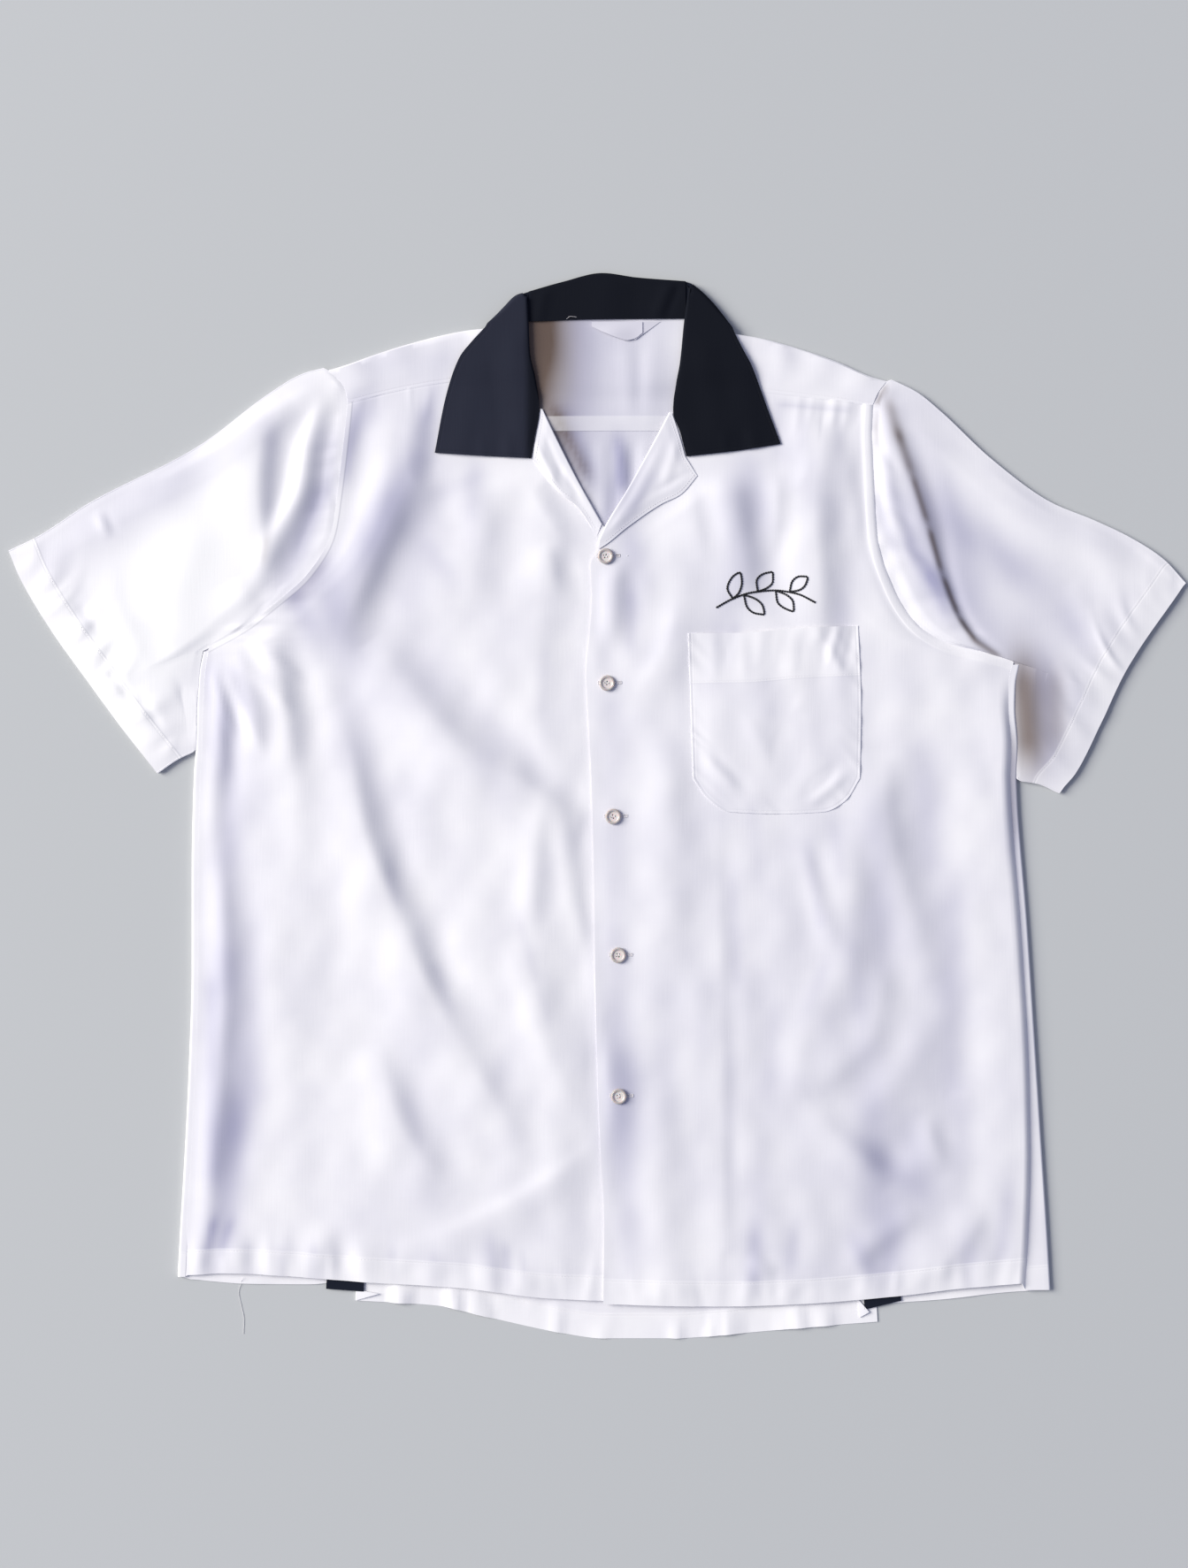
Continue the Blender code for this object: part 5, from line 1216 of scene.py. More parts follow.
# %% Parts of the collar's grid
def quarter_round(lip, flat):
    """Columns from a lip up to a flat edge: the plan goes by 1 less cosine, the rise by sine."""
    shares = [np.array([1 - math.cos(angle), 1 - math.cos(angle), math.sin(angle)])
              for angle in QUARTER]
    return np.stack([lip + (flat - lip) * share for share in shares], axis=-2)


def leaf_rows(side):
    """Rows of a leaf from its front end to the shoulder, and the rows of its fold."""
    sign = SIDES[side]
    free, inner = run(LEAF_FREE[side], LEAF_ROWS), run(LEAF_INNER[side], LEAF_ROWS)
    end, fold = (run(rows[side], LEAF_COLUMNS) for rows in (LEAF_FRONT_END, LEAF_SHOULDER_FOLD))
    girth = ramp(np.linspace(0, FOLD_OPENS, len(fold)))[:, None]
    outward = normals(fold, -sign) * girth
    fold_end = fold - outward * (LEAF_ROLL + 0.5)
    rolls = ramp((inner[:, 1] - GORGE_Y) / GORGE_FADE)
    flat_inner = inner + np.stack([sign * np.maximum(rolls * ROLL_REACH, 1.0), 0 * rolls], axis=-1)
    free[-1], fold_end[-1] = fold_end[0], flat_inner[-1]
    plan = patch(end, fold_end, free, flat_inner)
    x, y = xy(plan)
    height = TURNED + (LEAF_HIGH - TURNED) * ramp((y - 300.0) / 18.0)
    top_z = height[:, -1]
    settled = ramp((350 - y) / 20)
    height = height + (folds(LEAF_CREASES, x, y) + 0.25 + drift(x, y, 60, 60, 0.15, 5)) * settled
    height[:, -1] = top_z
    leaf = lifted(plan, height)[:, ::-1]
    lip = lifted(inner + np.stack([sign * rolls * WALL / 2, 0 * rolls], axis=-1),
                 top_z - rolls * ROLL)
    rows = np.concatenate([quarter_round(lip, lifted(flat_inner, top_z)), leaf], axis=1)
    turned = rolled(fold_end, outward, BACK, LEAF_HIGH)[::-1]
    turned = [row[::-1] for row in turned + [lifted(fold_end, BACK)]]
    return rows, turned


def back_rows():
    """Rows of the collar's back: stand, roll at the top and hidden fall."""
    columns = 64
    top, seam = run(COLLAR_TOP, columns), run(STAND_SEAM, columns)
    free = run(FALL_FREE, columns)
    free[:, 0] = top[:, 0]
    flat_end = top - (0.0, ROLL_REACH)
    stand = []
    for share in np.linspace(0, 1, STAND_STEPS + 1):
        plan = seam + (flat_end - seam) * share
        creased = folds(COLLAR_CREASES, *xy(plan)) * ramp((1 - share) * 5)
        stand.append(lifted(plan, FRONT + creased * window(plan[:, 0], -51, 66, 7, 4)))
    turned = rolled(flat_end, np.tile((0.0, 1.0), (len(top), 1)), BACK, FRONT)[::-1]
    fall = [lifted(flat_end + (free - flat_end) * share, BACK)
            for share in np.linspace(0, 1, LEAF_COLUMNS + 1)]
    return np.stack(stand + turned + fall, axis=1)


def corner_rows(leaf, turned, first_back):
    """Rows that carry a leaf round the shoulder and fan it out under the neck."""
    fall, last = first_back[-LEAF_COLUMNS - 1:], turned[-1]
    fan = [last + (fall - last) * share for share in np.linspace(0, 1, FAN_ROWS + 1)[1:-1]]
    rows = turned + fan
    lip_from, lip_to = leaf[-1, 0], first_back[-LEAF_COLUMNS - 1 - len(QUARTER)]
    built = []
    for count, row in enumerate(rows, start=1):
        lip = lip_from + (lip_to - lip_from) * count / (len(rows) + 1)
        built.append(np.concatenate([quarter_round(lip, row[0]), row]))
    return np.stack(built)


# %% The collar as one grid
back = back_rows()
blank = back.shape[1] - LEAF_COLUMNS - 1 - len(QUARTER)
blocks = []
for side in SIDES:
    leaf, turned = leaf_rows(side)
    panels[f"leaf_{side}"] = leaf[:, len(QUARTER):]
    rows = np.concatenate([leaf, corner_rows(leaf, turned, back[0 if side == "left" else -1])])
    block = np.concatenate([np.zeros((len(rows), blank, 3)), rows], axis=1)
    blocks += [block, back] if side == "left" else [block[::-1]]
grid = np.concatenate(blocks)
keep = every_cell(grid)
keep[:len(blocks[0]), :blank] = False
keep[-len(blocks[2]):, :blank] = False
# A small sheet under each shoulder corner closes the view down to the floor.
top_x, top_y = np.concatenate([points(LEAF_SHOULDER_FOLD["left"]), points(COLLAR_TOP),
                               points(LEAF_SHOULDER_FOLD["right"])[::-1]]).T
under_corners = []
for low, high, foot in ((-62.0, -43.0, 351.5), (62.0, 74.0, 354.0)):
    across = np.linspace(low, high, 11)
    head = np.interp(across, top_x, top_y) - 0.7
    plan = ruled(*(np.stack([across, np.full(11, y)], axis=-1) for y in (foot, head)), 10)
    under_corners.append({"grid": lifted(plan, FRONT - 0.75)})
x, y = xy(grid)
edge = [distance_to(join(run(LEAF_FREE[side], 60)[::-1], run(LEAF_FRONT_END[side], 40)), x, y)
        for side in SIDES]
edge = np.where(grid[..., 2] > FRONT + 0.6, np.minimum(*edge), FAR)
# Painted shade: a darker black where the back and the right leaf lie away from the lamp; painted
# light: a faint lilac lift on the left leaf, which faces the lamp.
deep = np.maximum(0.75 * ramp((x - 40) / 20), 0.95 * ramp((x + 54) / 8))
shade = 0.034 * ramp((-44 - x) / 8)
marks = {"edge": edge, "deep": deep, "shade": shade}
cloth("camp_collar", [{"grid": grid, "keep": keep, "marks": marks}] + under_corners,
      black_rayon("collar", [("edge", 2.4, "groove")]), ["collar"])


# %% [markdown]
# ## The sleeves
# A sleeve is one piece sewn into a tube, laid flat. The grid goes round the tube: along
# the upper layer, under the fold beneath the arm, back along the lower layer and over
# the fold on top. The cut is wider than the flat tube is deep, so the spare cloth makes
# a deep fold beside the armhole.

# %% Edges and creases of the sleeves
SLEEVE_STATIONS, CUFF_STEPS, TUCK = 108, 400, 1.4
SLEEVE_TOP = both(course, """-194.5 315, -211 310.6, -236 295.9, -280.8 262, -300 250.4,
    -363.3 218.4, -403 192.8, -424 182.6""",
    """209.5 307.2, 230 297.2, 246 284.4, 284.4 248.5, 326.6 217.8, 358.6 204.4, 384.2 192.2,
    407.9 176.8, 423.9 159.6""")
CUFF = both(course, "-424 182.6, -416.4 164.7, -394 126.9, -368.4 91.1, -346 60.4, -318.5 25.2",
    "423.9 159.6, 382.3 98.1, 363.1 57.8, 345.8 23.9, 334.9 11.1")
# Share of the cuff, from its top, that lies opposite the armhole above the armpit.
CUFF_SHARE = {"left": 0.6, "right": 0.55}
# What differs between the sleeves: how the loft fades from the top, the underarm, the
# armhole and the cuff, the seed, how far the cloth sinks beside the body and at the seam,
# and the hem's step.
SLEEVE_FADES = {"left": (24, 24, 44, 30), "right": (24, 24, 14, 30)}
SLEEVE_SEED, SLEEVE_CREASE_FADES = {"left": 61, "right": 73}, (9, 9, 6, 16)
SLEEVE_SINKS = {"left": (0.0, 0.12), "right": (0.6, 0.3)}
SLEEVE_STEP = {"left": "step", "right": "faint"}
UNDERARM = both(course, "-289.9 41.6, -302.5 36, -318.5 25.2",
    "303.6 20.2, 318.3 18.1, 334.9 11.1")

SLEEVE_CREASES = both(creases, """-222 294 0 20 9, -232 280 1.6 24 11, -243 262 3 28 12,
    -246 232 3.3 30 12, -244 206 2.4 28 9, -242 188 1.3 24 8, -240 168 0 20 8;
    -196 296 0 5 7, -203 277 1.8 6 8, -209 258 2.8 7 9, -214 230 3.2 8 9, -227 202 2.6 7 9,
    -237 181 1.6 8 8, -249 158 0 8 8;
    -200 305 0 3 8, -232 286 0.7 3 9, -266 265 0.8 3 10, -301 243 0.7 3 9, -320 233 0 3 8;
    -288 216 0 30 16, -298 180 1.2 34 18, -306 140 1.1 34 18, -310 100 0.6 30 18, -308 70 0 24 16;
    -352 180 0 20 12, -350 150 0.9 22 10, -336 118 1 20 10, -320 92 0 18 10;
    -361 214 0 4 3, -356 203 0.8 4 3, -351 192 0 4 3;
    -262 164 0 16 9, -254 148 1 18 9, -244 138 0 16 9""",
    """206 294 0 9 7, 213 270 1.2 10 7, 223 239 1.9 12 7, 235 202 2.3 13 6.5, 245 168 2.6 13 5,
    257 138 2.4 12 4, 268 123 1.9 8 3.4, 284 111 0.6 6 3, 290 108 0 6 3;
    205 262 0 5 7, 208 240 1 5 6, 214 212 1.1 5 6, 224 186 0.9 5 6, 236 160 0 5 5;
    290 262 0 30 34, 304 226 1.3 34 36, 318 196 1.5 34 36, 332 168 1 30 30, 344 140 0 26 28;
    352 214 0 12 16, 362 190 1 14 16, 372 160 1 14 14, 374 130 0 12 12;
    340 160 0 9 9, 352 142 0.9 9 8, 362 122 1 9 8, 366 104 0 8 8;
    330 104 0 9 8, 342 84 0.9 9 8, 346 60 0 8 8""")
SLEEVE_DENTS = ridges("""205 258 214 246 -0.7 3.5, 212 216 224 206 -0.6 4, 226 186 240 178 -0.9 4,
    240 150 254 150 -0.7 3.5, 258 128 274 126 -0.8 3, -372 142 -360 128 -0.9 5,
    -350 96 -338 80 -0.9 4, -328 76 -318 62 -0.8 4, -300 84 -290 66 -0.7 4""")

# %% Sleeves, each a closed tube
for side, sign in SIDES.items():
    top_line, under_line = (run(rows[side], SLEEVE_STATIONS) for rows in (SLEEVE_TOP, UNDERARM))
    top_out, under_out = normals(top_line, -sign), normals(under_line, sign)
    start = np.exp(-np.arange(SLEEVE_STATIONS + 1) / 3.3)[:, None]
    under_out = under_out * (1 - start) + np.array((0.0, -1.0)) * start
    top_line, under_line = top_line - top_out * ROLL_REACH, under_line - under_out * ROLL_REACH
    shoulder = run(SHOULDER_SIDE[side], SHOULDER_STEPS)
    body = join(run(SIDE_TUCK[side], SIDE_TUCK_STEPS), armhole(side), shoulder)[::-1]
    tucked = ramp((np.arange(len(body)) - (len(body) - 2 - SIDE_TUCK_STEPS)) / 3)
    body[:, 0] += sign * 2 * SEAM * tucked
    even = run(CUFF[side], CUFF_STEPS)
    steps = len(body) - 1
    opposite = np.interp(np.arange(steps + 1), (0, steps - SIDE_TUCK_STEPS, steps),
                         (0, CUFF_SHARE[side] * CUFF_STEPS, CUFF_STEPS))
    cuff = read_at(np.arange(CUFF_STEPS + 1), even, opposite)
    top_line[0], under_line[0] = body[0], body[-1]
    cuff[0], cuff[-1] = top_line[-1], under_line[-1]
    plan = patch(body, cuff, top_line, under_line)
    x, y = xy(plan)
    # The loft keeps well away from the tube's four edges; the creases reach closer.
    from_top, to_under, from_body, to_cuff = edges_away(plan)
    inside = kept_off(edges_away(plan), SLEEVE_FADES[side], (0, 0, 0, 0.25))
    near = kept_off(edges_away(plan), SLEEVE_CREASE_FADES, (0, 0, 0, 0.35))
    creased = sum(crease(rows, x, y) for rows in SLEEVE_CREASES[side]) + folds(SLEEVE_DENTS, x, y)
    seed = SLEEVE_SEED[side]
    loose = np.maximum(1.6 * inside + (creased + drift(x, y, 90, 90, 0.2, seed)) * near, -0.2)
    along_cuff = np.hypot(x - cuff[0, 0], y - cuff[0, 1])
    cuff_line = puckers(along_cuff, to_cuff - 20, 0, 190, *PUCKERS["cuff"], seed + 1)
    around = np.hypot(x - body[0, 0], y - body[0, 1])
    arm_line = puckers(around, from_body, 0, 215, *PUCKERS["sleeve_seam"], seed + 2)
    arm_line = arm_line * ramp(from_top / 10) * ramp(from_body / 4)
    body_side = SIDE_TUCK[side]["y"].mean()
    dip = (ramp(1.0 - from_body / 16.0) * ramp(to_under / 12.0)
           * ramp(1.3 - np.abs(y - body_side) / 30.0))
    detail = (cuff_line * ramp(from_top / 6) + arm_line) * ramp(to_under / 10) * (1 - dip)
    tucked_in = ramp(1 - from_body / 4)
    sunk, under = SLEEVE_SINKS[side]
    height = FRONT + np.maximum(loose + detail, DEEPEST) - sunk * dip - under * tucked_in
    if side == "left":
        ridge = SEAM_RIDGE * ridge_reach(body[:, 1])
        height = height + ridge * np.exp(-(from_body / 15) ** 2)
    inward = normals(body, -sign)[None] * tucked_in[..., None] * TUCK
    upper, lower = lifted(plan + inward, height), lifted(plan, BACK)[:, ::-1]
    under_roll = np.stack(rolled(under_line, under_out, BACK, FRONT)[::-1], axis=1)
    top_roll = np.stack(rolled(top_line, top_out, BACK, FRONT), axis=1)
    ring = np.concatenate([upper, under_roll, lower, top_roll], axis=1)
    marks = {"cuff": distance_to(even, *xy(ring)), **painted(f"sleeve_{side}", *xy(ring))}
    lines = [("cuff", 21.0, SLEEVE_STEP[side]), ("cuff", 19.4, "groove")]
    cloth(f"short_sleeve_{side}", [{"grid": ring, "closed": True, "marks": marks}],
          white_rayon(f"sleeve_{side}", lines), [f"sleeve_{side}"])
    panels[f"sleeve_{side}"] = upper

# %% [markdown]
# ## The chest pocket
# A patch pocket with round lower corners and a deep hem along its opening. It is sewn to
# the right front, so it follows that front's folds: its heights are read off the
# front's grid. Its sewn edges lie close, and its middle stands a little off the front.

# %% Edges of the pocket, and heights read off a sheet
POCKET_TOP = course("66.1 124.5, 105.8 125, 144.2 128.2, 188.4 130.1")
POCKET_LEFT = course("69.6 20, 68 71, 66.1 124.5")
POCKET_RIGHT = course("189.6 20, 190.5 71, 188.4 130.1")
POCKET_BOTTOM = course("69.6 20, 80.2 5.3, 96.2 -4.3, 131.4 -5.6, 163.4 -4.3, 179.4 4, 189.6 20")


def over(grid, x, y, reach=3.0):
    """Height of a sheet over points in plan. Every grid point near tells it by its own
    height and slopes, and counts by e to the minus square of its distance over the reach."""
    du, dv = (np.gradient(grid, axis=axis).reshape(-1, 3) for axis in (0, 1))
    area = du[:, 0] * dv[:, 1] - du[:, 1] * dv[:, 0]
    area = np.where(np.abs(area) < 0.01, 0.01, area)
    slope_x = (du[:, 2] * dv[:, 1] - dv[:, 2] * du[:, 1]) / area
    slope_y = (dv[:, 2] * du[:, 0] - du[:, 2] * dv[:, 0]) / area
    flat = grid.reshape(-1, 3)
    wanted = np.stack([np.ravel(x), np.ravel(y)], axis=-1)
    levels = []
    for part in np.array_split(wanted, len(wanted) // 100 + 1):
        low, high = part.min(axis=0) - 9, part.max(axis=0) + 9
        near = np.all((flat[:, :2] > low) & (flat[:, :2] < high), axis=1)
        gap_x, gap_y = (part[:, None, axis] - flat[None, near, axis] for axis in (0, 1))
        weight = np.exp(-(gap_x ** 2 + gap_y ** 2) / reach ** 2) + 1e-30
        told = flat[near, 2] + gap_x * slope_x[near] + gap_y * slope_y[near]
        levels.append((weight * told).sum(axis=1) / weight.sum(axis=1))
    return np.concatenate(levels).reshape(np.shape(x))


# %% The pocket on its front
POCKET_CREASES = ridges("""167 129 160 103 -0.8 3.5, 174 129 168 106 0.8 3.5,
    186 128 179 100 -0.7 3, 160 126 176 98 0.6 3.2, 84 124 85 92 0.3 3.6, 94 124 93 104 -0.35 3.4,
    104 124 106 96 0.35 4.4, 118 124 117 104 0.25 3.6, 128 124 130 98 -0.3 3.4,
    142 125 141 96 0.3 4.2, 152 126 150 106 -0.3 3.2, 110 60 122 38 0.4 6, 146 74 132 56 0.4 6,
    80 33 99 14 0.7 4, 86 36 106 17 -0.5 4, 176 20 157 4 0.7 4, 170 26 152 10 -0.5 4,
    84 110 92 30 0.5 12, 140 96 134 20 -0.5 12, 172 90 170 40 0.5 9""")
plan = patch(*(run(rows, 56) for rows in (POCKET_BOTTOM, POCKET_TOP, POCKET_LEFT, POCKET_RIGHT)))
x, y = xy(plan)
sewn_edge = join(run(POCKET_LEFT, 60)[::-1], run(POCKET_BOTTOM, 90), run(POCKET_RIGHT, 60))
from_sewn, from_top = distance_to(sewn_edge, x, y), distance_to(run(POCKET_TOP, 40), x, y)
stands_off = (0.5 + 0.7 * ramp(from_sewn / 16)
              + 0.35 * ramp(1 - from_top / 20) * ramp(from_sewn / 30))
loose = folds(POCKET_CREASES, x, y) + drift(x, y, 50, 90, 0.15, 91)
drawn_up = puckers(x + y, from_sewn, -20, 330, *PUCKERS["pocket"], 92)
pocket_top = over(panels["right"], x, y) + stands_off + np.maximum(
    loose * ramp(from_sewn / 6) + np.maximum(drawn_up, -0.1), -0.2)
panels["pocket"] = lifted(plan, pocket_top)
marks = {"edge": from_sewn, "top": from_top, **painted("front", x, y)}
cloth("chest_pocket", [{"grid": panels["pocket"], "marks": marks}],
      white_rayon("pocket", [("top", 36.0, "step"), ("edge", 1.6, "groove"),
                             ("top", 35.0, "groove")]),
      ["pocket"])

# %% [markdown]
# ## The neck label
# A plain satin ribbon, caught in the neck seam by its top edge, so its lower edge sags.
# It is left blank. Beside it a corner of white seam tape stands out of the same seam.

# %% Label
LABEL_TOP = course("-3.6 349.6, 14 349.6, 33 349.6")
LABEL_LOW = course("-3.6 346.4, 4 342.6, 14 338.6, 22 336.4, 28 338, 33 341.8")
low, top = run(LABEL_LOW, 32), run(LABEL_TOP, 32)
plan = ruled(low, top, 12)
hangs = ramp((349.6 - plan[..., 1]) / 9)
rise = FRONT + (0.5 + 0.5 * np.sin((plan[..., 0] - 2) / 6.0)) * hangs
tape = ruled(np.linspace((25.5, 337.2), (28.0, 337.0), 9),
             np.linspace((30.0, 349.8), (46.0, 350.0), 9), 12)
tape_rise = BACK + 2.3 - 0.6 * ramp((tape[..., 0] - 24) / 24)
# The ribbon's grey-lilac colour, darker than the shirt's white, is partly its own off-white and
# partly painted shade.
satin = woven("white_satin_ribbon", "#e0dfe8", "#d2d0dc", roughness=0.32, sheen=0.1,
              slub=0.01, crumple=0.08)
cloth("neck_label", [{"grid": lifted(plan, rise)}, {"grid": lifted(tape, tape_rise)}], satin,
      ["label"], wall=0.35)

# %% [markdown]
# ## The buttons
# Each button is turned: one half outline swept round, with a raised rim and a shallow
# bowl. The four holes are sunk into the bowl. The resin imitates smoky pearl, darker and
# browner in the rim, with faint bands; the band noise is stretched so they run across.

# %% Button sizes and resin
BUTTONS = course("6.4 180.2, 7.5 88.6, 11.9 -7.6, 15.5 -107.6, 15.9 -209.2")
# Half outline of a button, from the middle of its top to the middle of its foot: x is the
# radius and y the height. Each button is turned by BUTTON_SPIN more than the last.
BUTTON_PROFILE = course("0 1.7, 3.3 1.8, 4.1 2.5, 5 2.6, 5.7 1.9, 5.5 0.9, 4.2 0, 0 0")
BUTTON_SIDES, BUTTON_SPIN, SEAT_RADIUS = 56, 0.35, 5.2
HOLE_REACH, HOLE_RADIUS, HOLE_DEPTH = 1.2, 0.5, 1.2


def pearl(name):
    """Smoky pearl resin: tone by radius from a pink-white bowl to a grey-brown rim, mixed
    with stretched noise for the bands, under a thin clear coat."""
    made, tree, shader = principled(name, {
        "Roughness": 0.22, "IOR": 1.55, "Coat Weight": 0.4, "Subsurface Weight": 0.25,
        "Subsurface Scale": 0.0012})
    place = add(tree, "ShaderNodeTexCoord").outputs["Object"]
    stretched = add(tree, "ShaderNodeMapping", {"Vector": place, "Scale": (300.0, 900.0, 600.0),
                                                "Rotation": (0.0, 0.0, 0.5)}).outputs[0]
    bands = noise(tree, stretched, 1.0, 2.0)
    rim = mapped(tree, mark_of(tree, "radius"), 3.0 * MM, 4.4 * MM)
    colour = mixed(tree, rim, mixed(tree, bands, "#ece4e1", "#d8ceca"),
                   mixed(tree, bands, "#c6bfbc", "#aea6a2"))
    tree.links.new(colour, shader.inputs["Base Color"])
    return made


smoky_pearl = pearl("smoky_pearl_resin")

# %% A button's mesh, and its five places
outline = points(BUTTON_PROFILE)
profile = join(evenly(outline[:5], 42), evenly(outline[4:], 14))
angle = np.linspace(0, 2 * math.pi, BUTTON_SIDES, endpoint=False)
radius, level = (np.repeat(profile[1:-1, [axis]], BUTTON_SIDES, axis=1) for axis in (0, 1))
holes = np.array([(a, b) for a in (-1, 1) for b in (-1, 1)]) * HOLE_REACH / math.sqrt(2)
turned_x, turned_y = radius * np.cos(angle), radius * np.sin(angle)
for hole in holes:
    from_hole = np.hypot(turned_x - hole[0], turned_y - hole[1])
    level = level - HOLE_DEPTH * ramp((HOLE_RADIUS + 0.1 - from_hole) / 0.22) * (level > 1.5)
rings, count = level.shape
body = np.stack([turned_x, turned_y, level], axis=-1).reshape(-1, 3)
body = np.concatenate([body, [(0, 0, profile[0, 1]), (0, 0, profile[-1, 1])]])
start = np.arange(rings - 1) * count
seam_faces = np.stack([start + count - 1, start, start + count, start + 2 * count - 1], axis=-1)
ring_faces = np.concatenate([quads(rings, count).reshape(-1, 4), seam_faces])
around, after = np.arange(count), np.roll(np.arange(count), -1)
foot = (rings - 1) * count
top_fan = np.stack([np.full(count, rings * count), around, after], axis=-1)
foot_fan = np.stack([np.full(count, rings * count + 1), foot + after, foot + around], axis=-1)
turned_faces = ring_faces[:, ::-1].tolist() + top_fan.tolist() + foot_fan.tolist()
seats = []
for number, (x, y) in enumerate(points(BUTTONS), start=1):
    seat = over(panels["right"], x + SEAT_RADIUS * np.cos(angle),
                y + SEAT_RADIUS * np.sin(angle)).max() - 0.1
    seats.append(seat)
    spin = BUTTON_SPIN * number
    turn = np.array([(math.cos(spin), math.sin(spin), 0), (-math.sin(spin), math.cos(spin), 0),
                     (0, 0, 1)])
    mesh = smooth_mesh(f"pearl_button_{number}", body @ turn + (x, y, seat), turned_faces,
                       {"radius": np.hypot(*body[:, :2].T)})
    dress(f"pearl_button_{number}", mesh, smoky_pearl, [f"button_{number}"])


# %% [markdown]
# ## Stitches
# Topstitching holds hems, pocket, collar and facings. Each stitch is a small bar that
# dips into the cloth at both ends. All the stitches of one colour are one mesh, made by
# copying the bar's sixteen corners along the seam lines as arrays. A hair curve with
# instances would work as well, but a plain mesh travels to any other program.

# %% Bars of thread
# A bar's faces: three bands of four quads between its four sections, and its two ends.
ring = np.stack([np.arange(4), np.arange(4) + 4, np.roll(np.arange(4), -1) + 4,
                 np.roll(np.arange(4), -1)], axis=-1)
BAR = np.concatenate([ring, ring + 4, ring + 8, [(0, 1, 2, 3), (15, 14, 13, 12)]])
BAR_CORNERS = 16
# Distances of the stitches from a hem, a cuff, the pocket's edge and its opening.
HEM_STITCH, CUFF_STITCH, POCKET_STITCH, POCKET_HEM = 16.6, 19.8, 1.6, 35.0
sewing = {"white": [], "black": []}


def bars(colour, middle, along, length, radius):
    """Add bars centred on points and lying along directions: four square sections each,
    thinner and lower at the ends."""
    along = np.broadcast_to(along, middle.shape)
    along = along / np.linalg.norm(along, axis=-1, keepdims=True)
    side = np.cross(along, (0.0, 0.0, 1.0))
    side /= np.linalg.norm(side, axis=-1, keepdims=True)
    up = np.cross(side, along)
    turn = math.pi / 4 + math.pi / 2 * np.arange(4)
    ring = side[:, None] * np.cos(turn)[:, None] + up[:, None] * np.sin(turn)[:, None]
    reach = (np.array((-0.5, -0.3, 0.3, 0.5)) * length)[:, None, None]
    thick = (np.array((0.45, 1.0, 1.0, 0.45)) * radius)[:, None, None]
    dip = (np.array((-1.0, 0.0, 0.0, -1.0)) * radius)[:, None, None]
    place = (middle[:, None, None] + along[:, None, None] * reach + up[:, None, None] * dip
             + ring[:, None] * thick)
    sewing[colour].append(place.reshape(-1, 3))


def sew(colour, grid, path, pitch=2.3, above=WALL / 2 - 0.06):
    """A row of stitches on a sheet along a path in plan, one to each pitch."""
    even = evenly(path, 2 * int(running(path)[-1] / pitch))
    line = lifted(even, over(grid, *xy(even)) + above)
    bars(colour, line[1::2], line[2::2] - line[:-1:2], 1.4, 0.12)


def on_front(path, above):
    """Points in plan, laid at a small height above the right front's upper face."""
    return lifted(path, over(panels["right"], *xy(path)) + WALL / 2 + above)


def beside(path, distance, side):
    """A path moved sideways in plan, to its left (1) or its right (-1)."""
    return path + normals(path, side) * distance


# %% Rows of stitches
for side, sign in SIDES.items():
    hem, cuff = run(FRONT_HEM[side], 120), run(CUFF[side], 80)
    sew("white", panels[side], beside(hem, HEM_STITCH, -sign)[3:-1])
    sew("white", panels[f"sleeve_{side}"], beside(cuff, CUFF_STITCH, -sign)[1:-1])
sew("white", panels["back"], beside(run(BACK_CENTRE_HEM, 160), HEM_STITCH, 1)[40:130])
sew("white", panels["pocket"], beside(sewn_edge, POCKET_STITCH, 1)[2:-2], pitch=2.1)
sew("white", panels["pocket"], (run(POCKET_TOP, 60) - (0.0, POCKET_HEM))[1:-1], pitch=2.1)
for side, sign in SIDES.items():
    seam = run(YOKE_SEAM[side], 90)
    sew("white", panels[f"yoke_{side}"], beside(seam, 1.9, -sign)[2:-2], pitch=2.4)
    lapel_line = join(*[run(rows, 40) for rows in LAPEL_EDGE[side]])
    sew("white", panels[f"lapel_{side}"], beside(lapel_line, 2.2, -sign)[3:-3], pitch=2.0,
        above=WALL / 2 + 0.06)
    leaf_line = join(run(LEAF_FREE[side], 90)[::-1], run(LEAF_FRONT_END[side], 50))
    sew("black", panels[f"leaf_{side}"], beside(leaf_line, 2.3, -sign)[8:-3], pitch=2.0)
print("white stitches so far:", sum(len(part) for part in sewing["white"]) // BAR_CORNERS)

# %% Buttonholes, button thread and a loose end
for number, ((x, y), seat) in enumerate(zip(points(BUTTONS), seats), start=1):
    for rail in (-0.75, 0.75):
        where = np.linspace((x - 6.5, y + 0.4 + rail), (x + 10.0, y + 0.4 + rail), 40)
        bars("white", on_front(where, 0.1), (0.12, 1.0, 0.0), 1.5, 0.2)
    ends = np.array([(x + 10.3, y + 0.4 + shift) for shift in (-0.5, 0.0, 0.5)])
    bars("white", on_front(ends, 0.15), (0.1, 1.0, 0.0), 1.3, 0.22)
    spin = BUTTON_SPIN * number + math.pi / 4
    for pair in (-1, 1):
        for strand in (-0.2, 0.0, 0.2):
            away = pair * HOLE_REACH / math.sqrt(2) + strand
            middle = np.array([(x - away * math.sin(spin), y + away * math.cos(spin), seat + 1.8)])
            bars("white", middle, (math.cos(spin), math.sin(spin), 0.0), 2.2, 0.14)

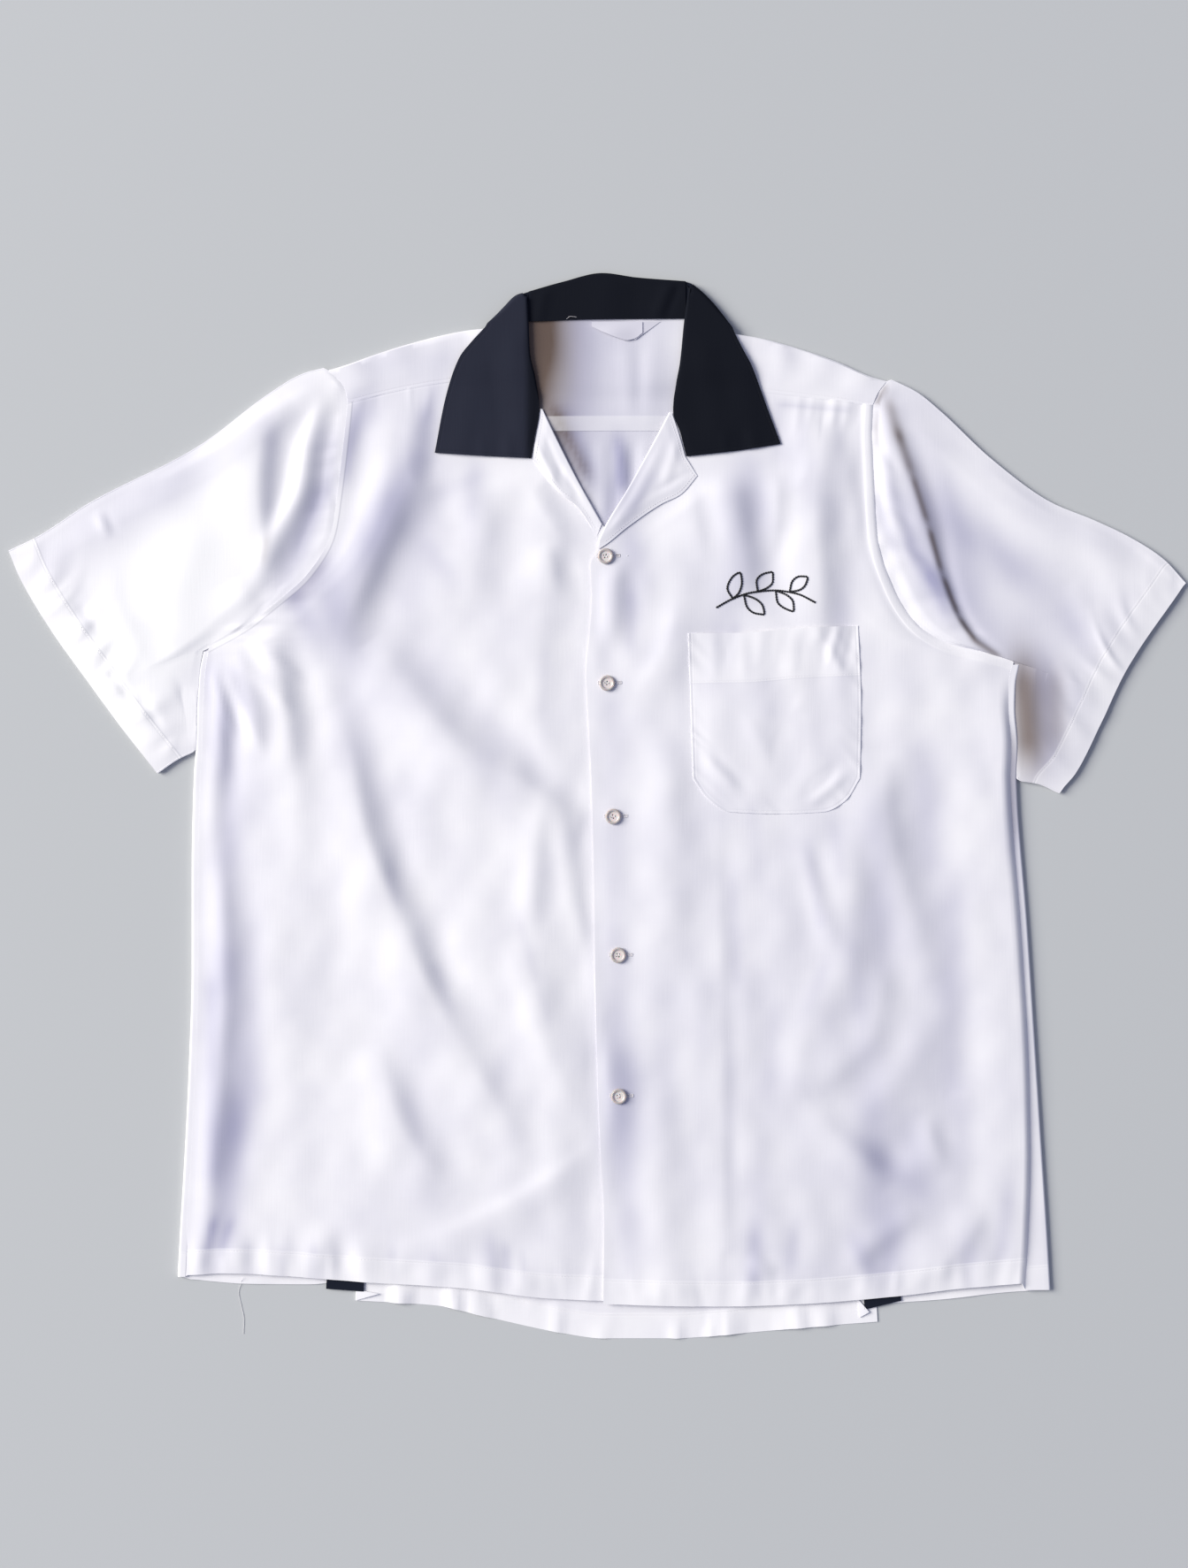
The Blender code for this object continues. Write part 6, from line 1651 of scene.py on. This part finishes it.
# Beside the first button, two black thread bars are a painted shadow in the slit's end.
slit = np.array([(14.6, 181.0), (16.4, 181.0), (22.3, 180.6)])
middle = on_front(slit, 0.1)
bars("black", middle[:2], (1.0, 0.0, 0.0), 2.0, 0.22)
bars("white", middle[2:], (1.0, 0.3, 0.0), 1.6, 0.2)
THREADS = [table("x y z", """-256 -341 2.4, -257.5 -345 0.8, -259 -352 0.3, -257 -362 0.3,
    -255.2 -372 0.3, -255.6 -382 0.3"""),
           table("x y z", "-22 351.5 3.6, -19 353.5 4, -14.5 353 3.8")]
for rows in THREADS:
    line = np.stack(list(rows.values()), axis=-1)
    curve = smooth(line, int(running(line)[-1] / 0.8))
    bars("white", (curve[1:] + curve[:-1]) / 2, np.diff(curve, axis=0), 1.1, 0.13)

# %% [markdown]
# ## The embroidered sprig
# Over the pocket sits a small generic sprig of leaves in black chain stitch. Each link of
# the chain is a pair of leaning bars, so the row reads as a braid, as a chain-stitch
# machine leaves it. The lines are a stem and leaf outlines, given by short tables.

# %% Sprig
SPRIG = courses("""86 143, 98 149.5, 112 154, 128 155.5, 144 153, 157.5 146.5;
    98 149.5, 94 157, 97.5 165, 103 168.5, 104.5 161, 102.5 154, 98 149.5;
    106 152.3, 108 144, 114 139, 121 138, 119.5 144.5, 114 149.5, 106 152.3;
    116 154.6, 115 162, 120 167.5, 127 169, 127 162, 123 157.5, 116 154.6;
    129 155.4, 130 147.5, 135.5 142.5, 142 140, 141.5 147, 137 152, 129 155.4;
    139 154.4, 140.5 161.5, 146 165.5, 152 165, 150 159, 145.5 155.5, 139 154.4""")
PITCH, LEAN = 1.75, 0.42
for rows in SPRIG:
    path = run(rows, 120)
    even = evenly(path, int(running(path)[-1] / PITCH))
    middle, along = (even[1:] + even[:-1]) / 2, np.diff(even, axis=0)
    across = np.stack([-along[:, 1], along[:, 0]], axis=-1) / PITCH
    for hand in (-1, 1):
        leaning = lifted(along + across * LEAN * hand, 0.0)
        bars("black", on_front(middle + across * 0.33 * hand, 0.2), leaning, 2.1, 0.44)

# %% Thread meshes
plain = {"roughness": 0.6, "slub": 0.0, "crumple": 0.0}
thread = {"white": woven("white_cotton_thread", "#f1eef0", "#e7e3e6", **plain),
          "black": woven("black_cotton_thread", "#0b0c12", "#0f1016", specular=0.25, **plain)}
for colour, parts in sewing.items():
    place = np.concatenate(parts)
    count = len(place) // BAR_CORNERS
    faces = (BAR[None] + BAR_CORNERS * np.arange(count)[:, None, None]).reshape(-1, 4)
    mesh = smooth_mesh(f"stitching_{colour}", place, faces.tolist(), {})
    dress(f"stitching_{colour}", mesh, thread[colour], [])
    print(colour, count, "stitches")

# %% [markdown]
# ## Floor, camera and light
# The shirt lies on a pale floor and is seen from straight above, so the camera looks
# down with its upper edge towards the collar. One large soft lamp stands low on the
# collar's left, as a window would, so every fold throws a soft shadow to the right. A
# weak bluish sky fills those shadows.

# %% Floor
FLOOR_HALF = 4.0                # metres
mesh = bpy.data.meshes.new("floor")
mesh.from_pydata([(x * FLOOR_HALF, y * FLOOR_HALF, 0)
                  for x, y in ((-1, -1), (1, -1), (1, 1), (-1, 1))], [], [(0, 1, 2, 3)])
floor = bpy.data.objects.new("floor", mesh)
bpy.context.scene.collection.objects.link(floor)
paper, _, _ = principled("pale_grey_paper", {"Base Color": linear("#bfc2c4"), "Roughness": 0.9})
mesh.materials.append(paper)

# %% Camera and light
PICTURE_HEIGHT, DISTANCE = 1.1347, 1.6         # metres
SENSOR = 36.0                                   # mm
camera_data = bpy.data.cameras.new("above")
camera_data.sensor_width = SENSOR
camera_data.lens = SENSOR * DISTANCE / PICTURE_HEIGHT
camera = bpy.data.objects.new("above", camera_data)
camera.location = (-0.002, 0.0159, DISTANCE)
bpy.context.scene.collection.objects.link(camera)
bpy.context.scene.camera = camera


def lamp(name, place, aim, size, watts, tint):
    """A square area lamp at a place, turned to face a point."""
    data = bpy.data.lights.new(name, "AREA")
    data.size, data.energy, data.color = size, watts, linear(tint)[:3]
    made = bpy.data.objects.new(name, data)
    made.location = place
    away = np.array(place) - np.array(aim)
    made.rotation_euler = (math.acos(away[2] / np.linalg.norm(away)), 0.0,
                           math.atan2(away[1], away[0]) + math.pi / 2)
    bpy.context.scene.collection.objects.link(made)


lamp("window", place=(-14.0, 4.0, 8.6), aim=(0.0, 0.0, 0.0), size=9.5, watts=4680.0,
     tint="#fffbf1")
world = bpy.data.worlds.new("studio")
bpy.context.scene.world = world
world.use_nodes = True
sky = world.node_tree.nodes["Background"]
sky.inputs["Color"].default_value = linear("#ccd3f2")
sky.inputs["Strength"].default_value = 0.42
bpy.context.scene.view_settings.view_transform = "Standard"
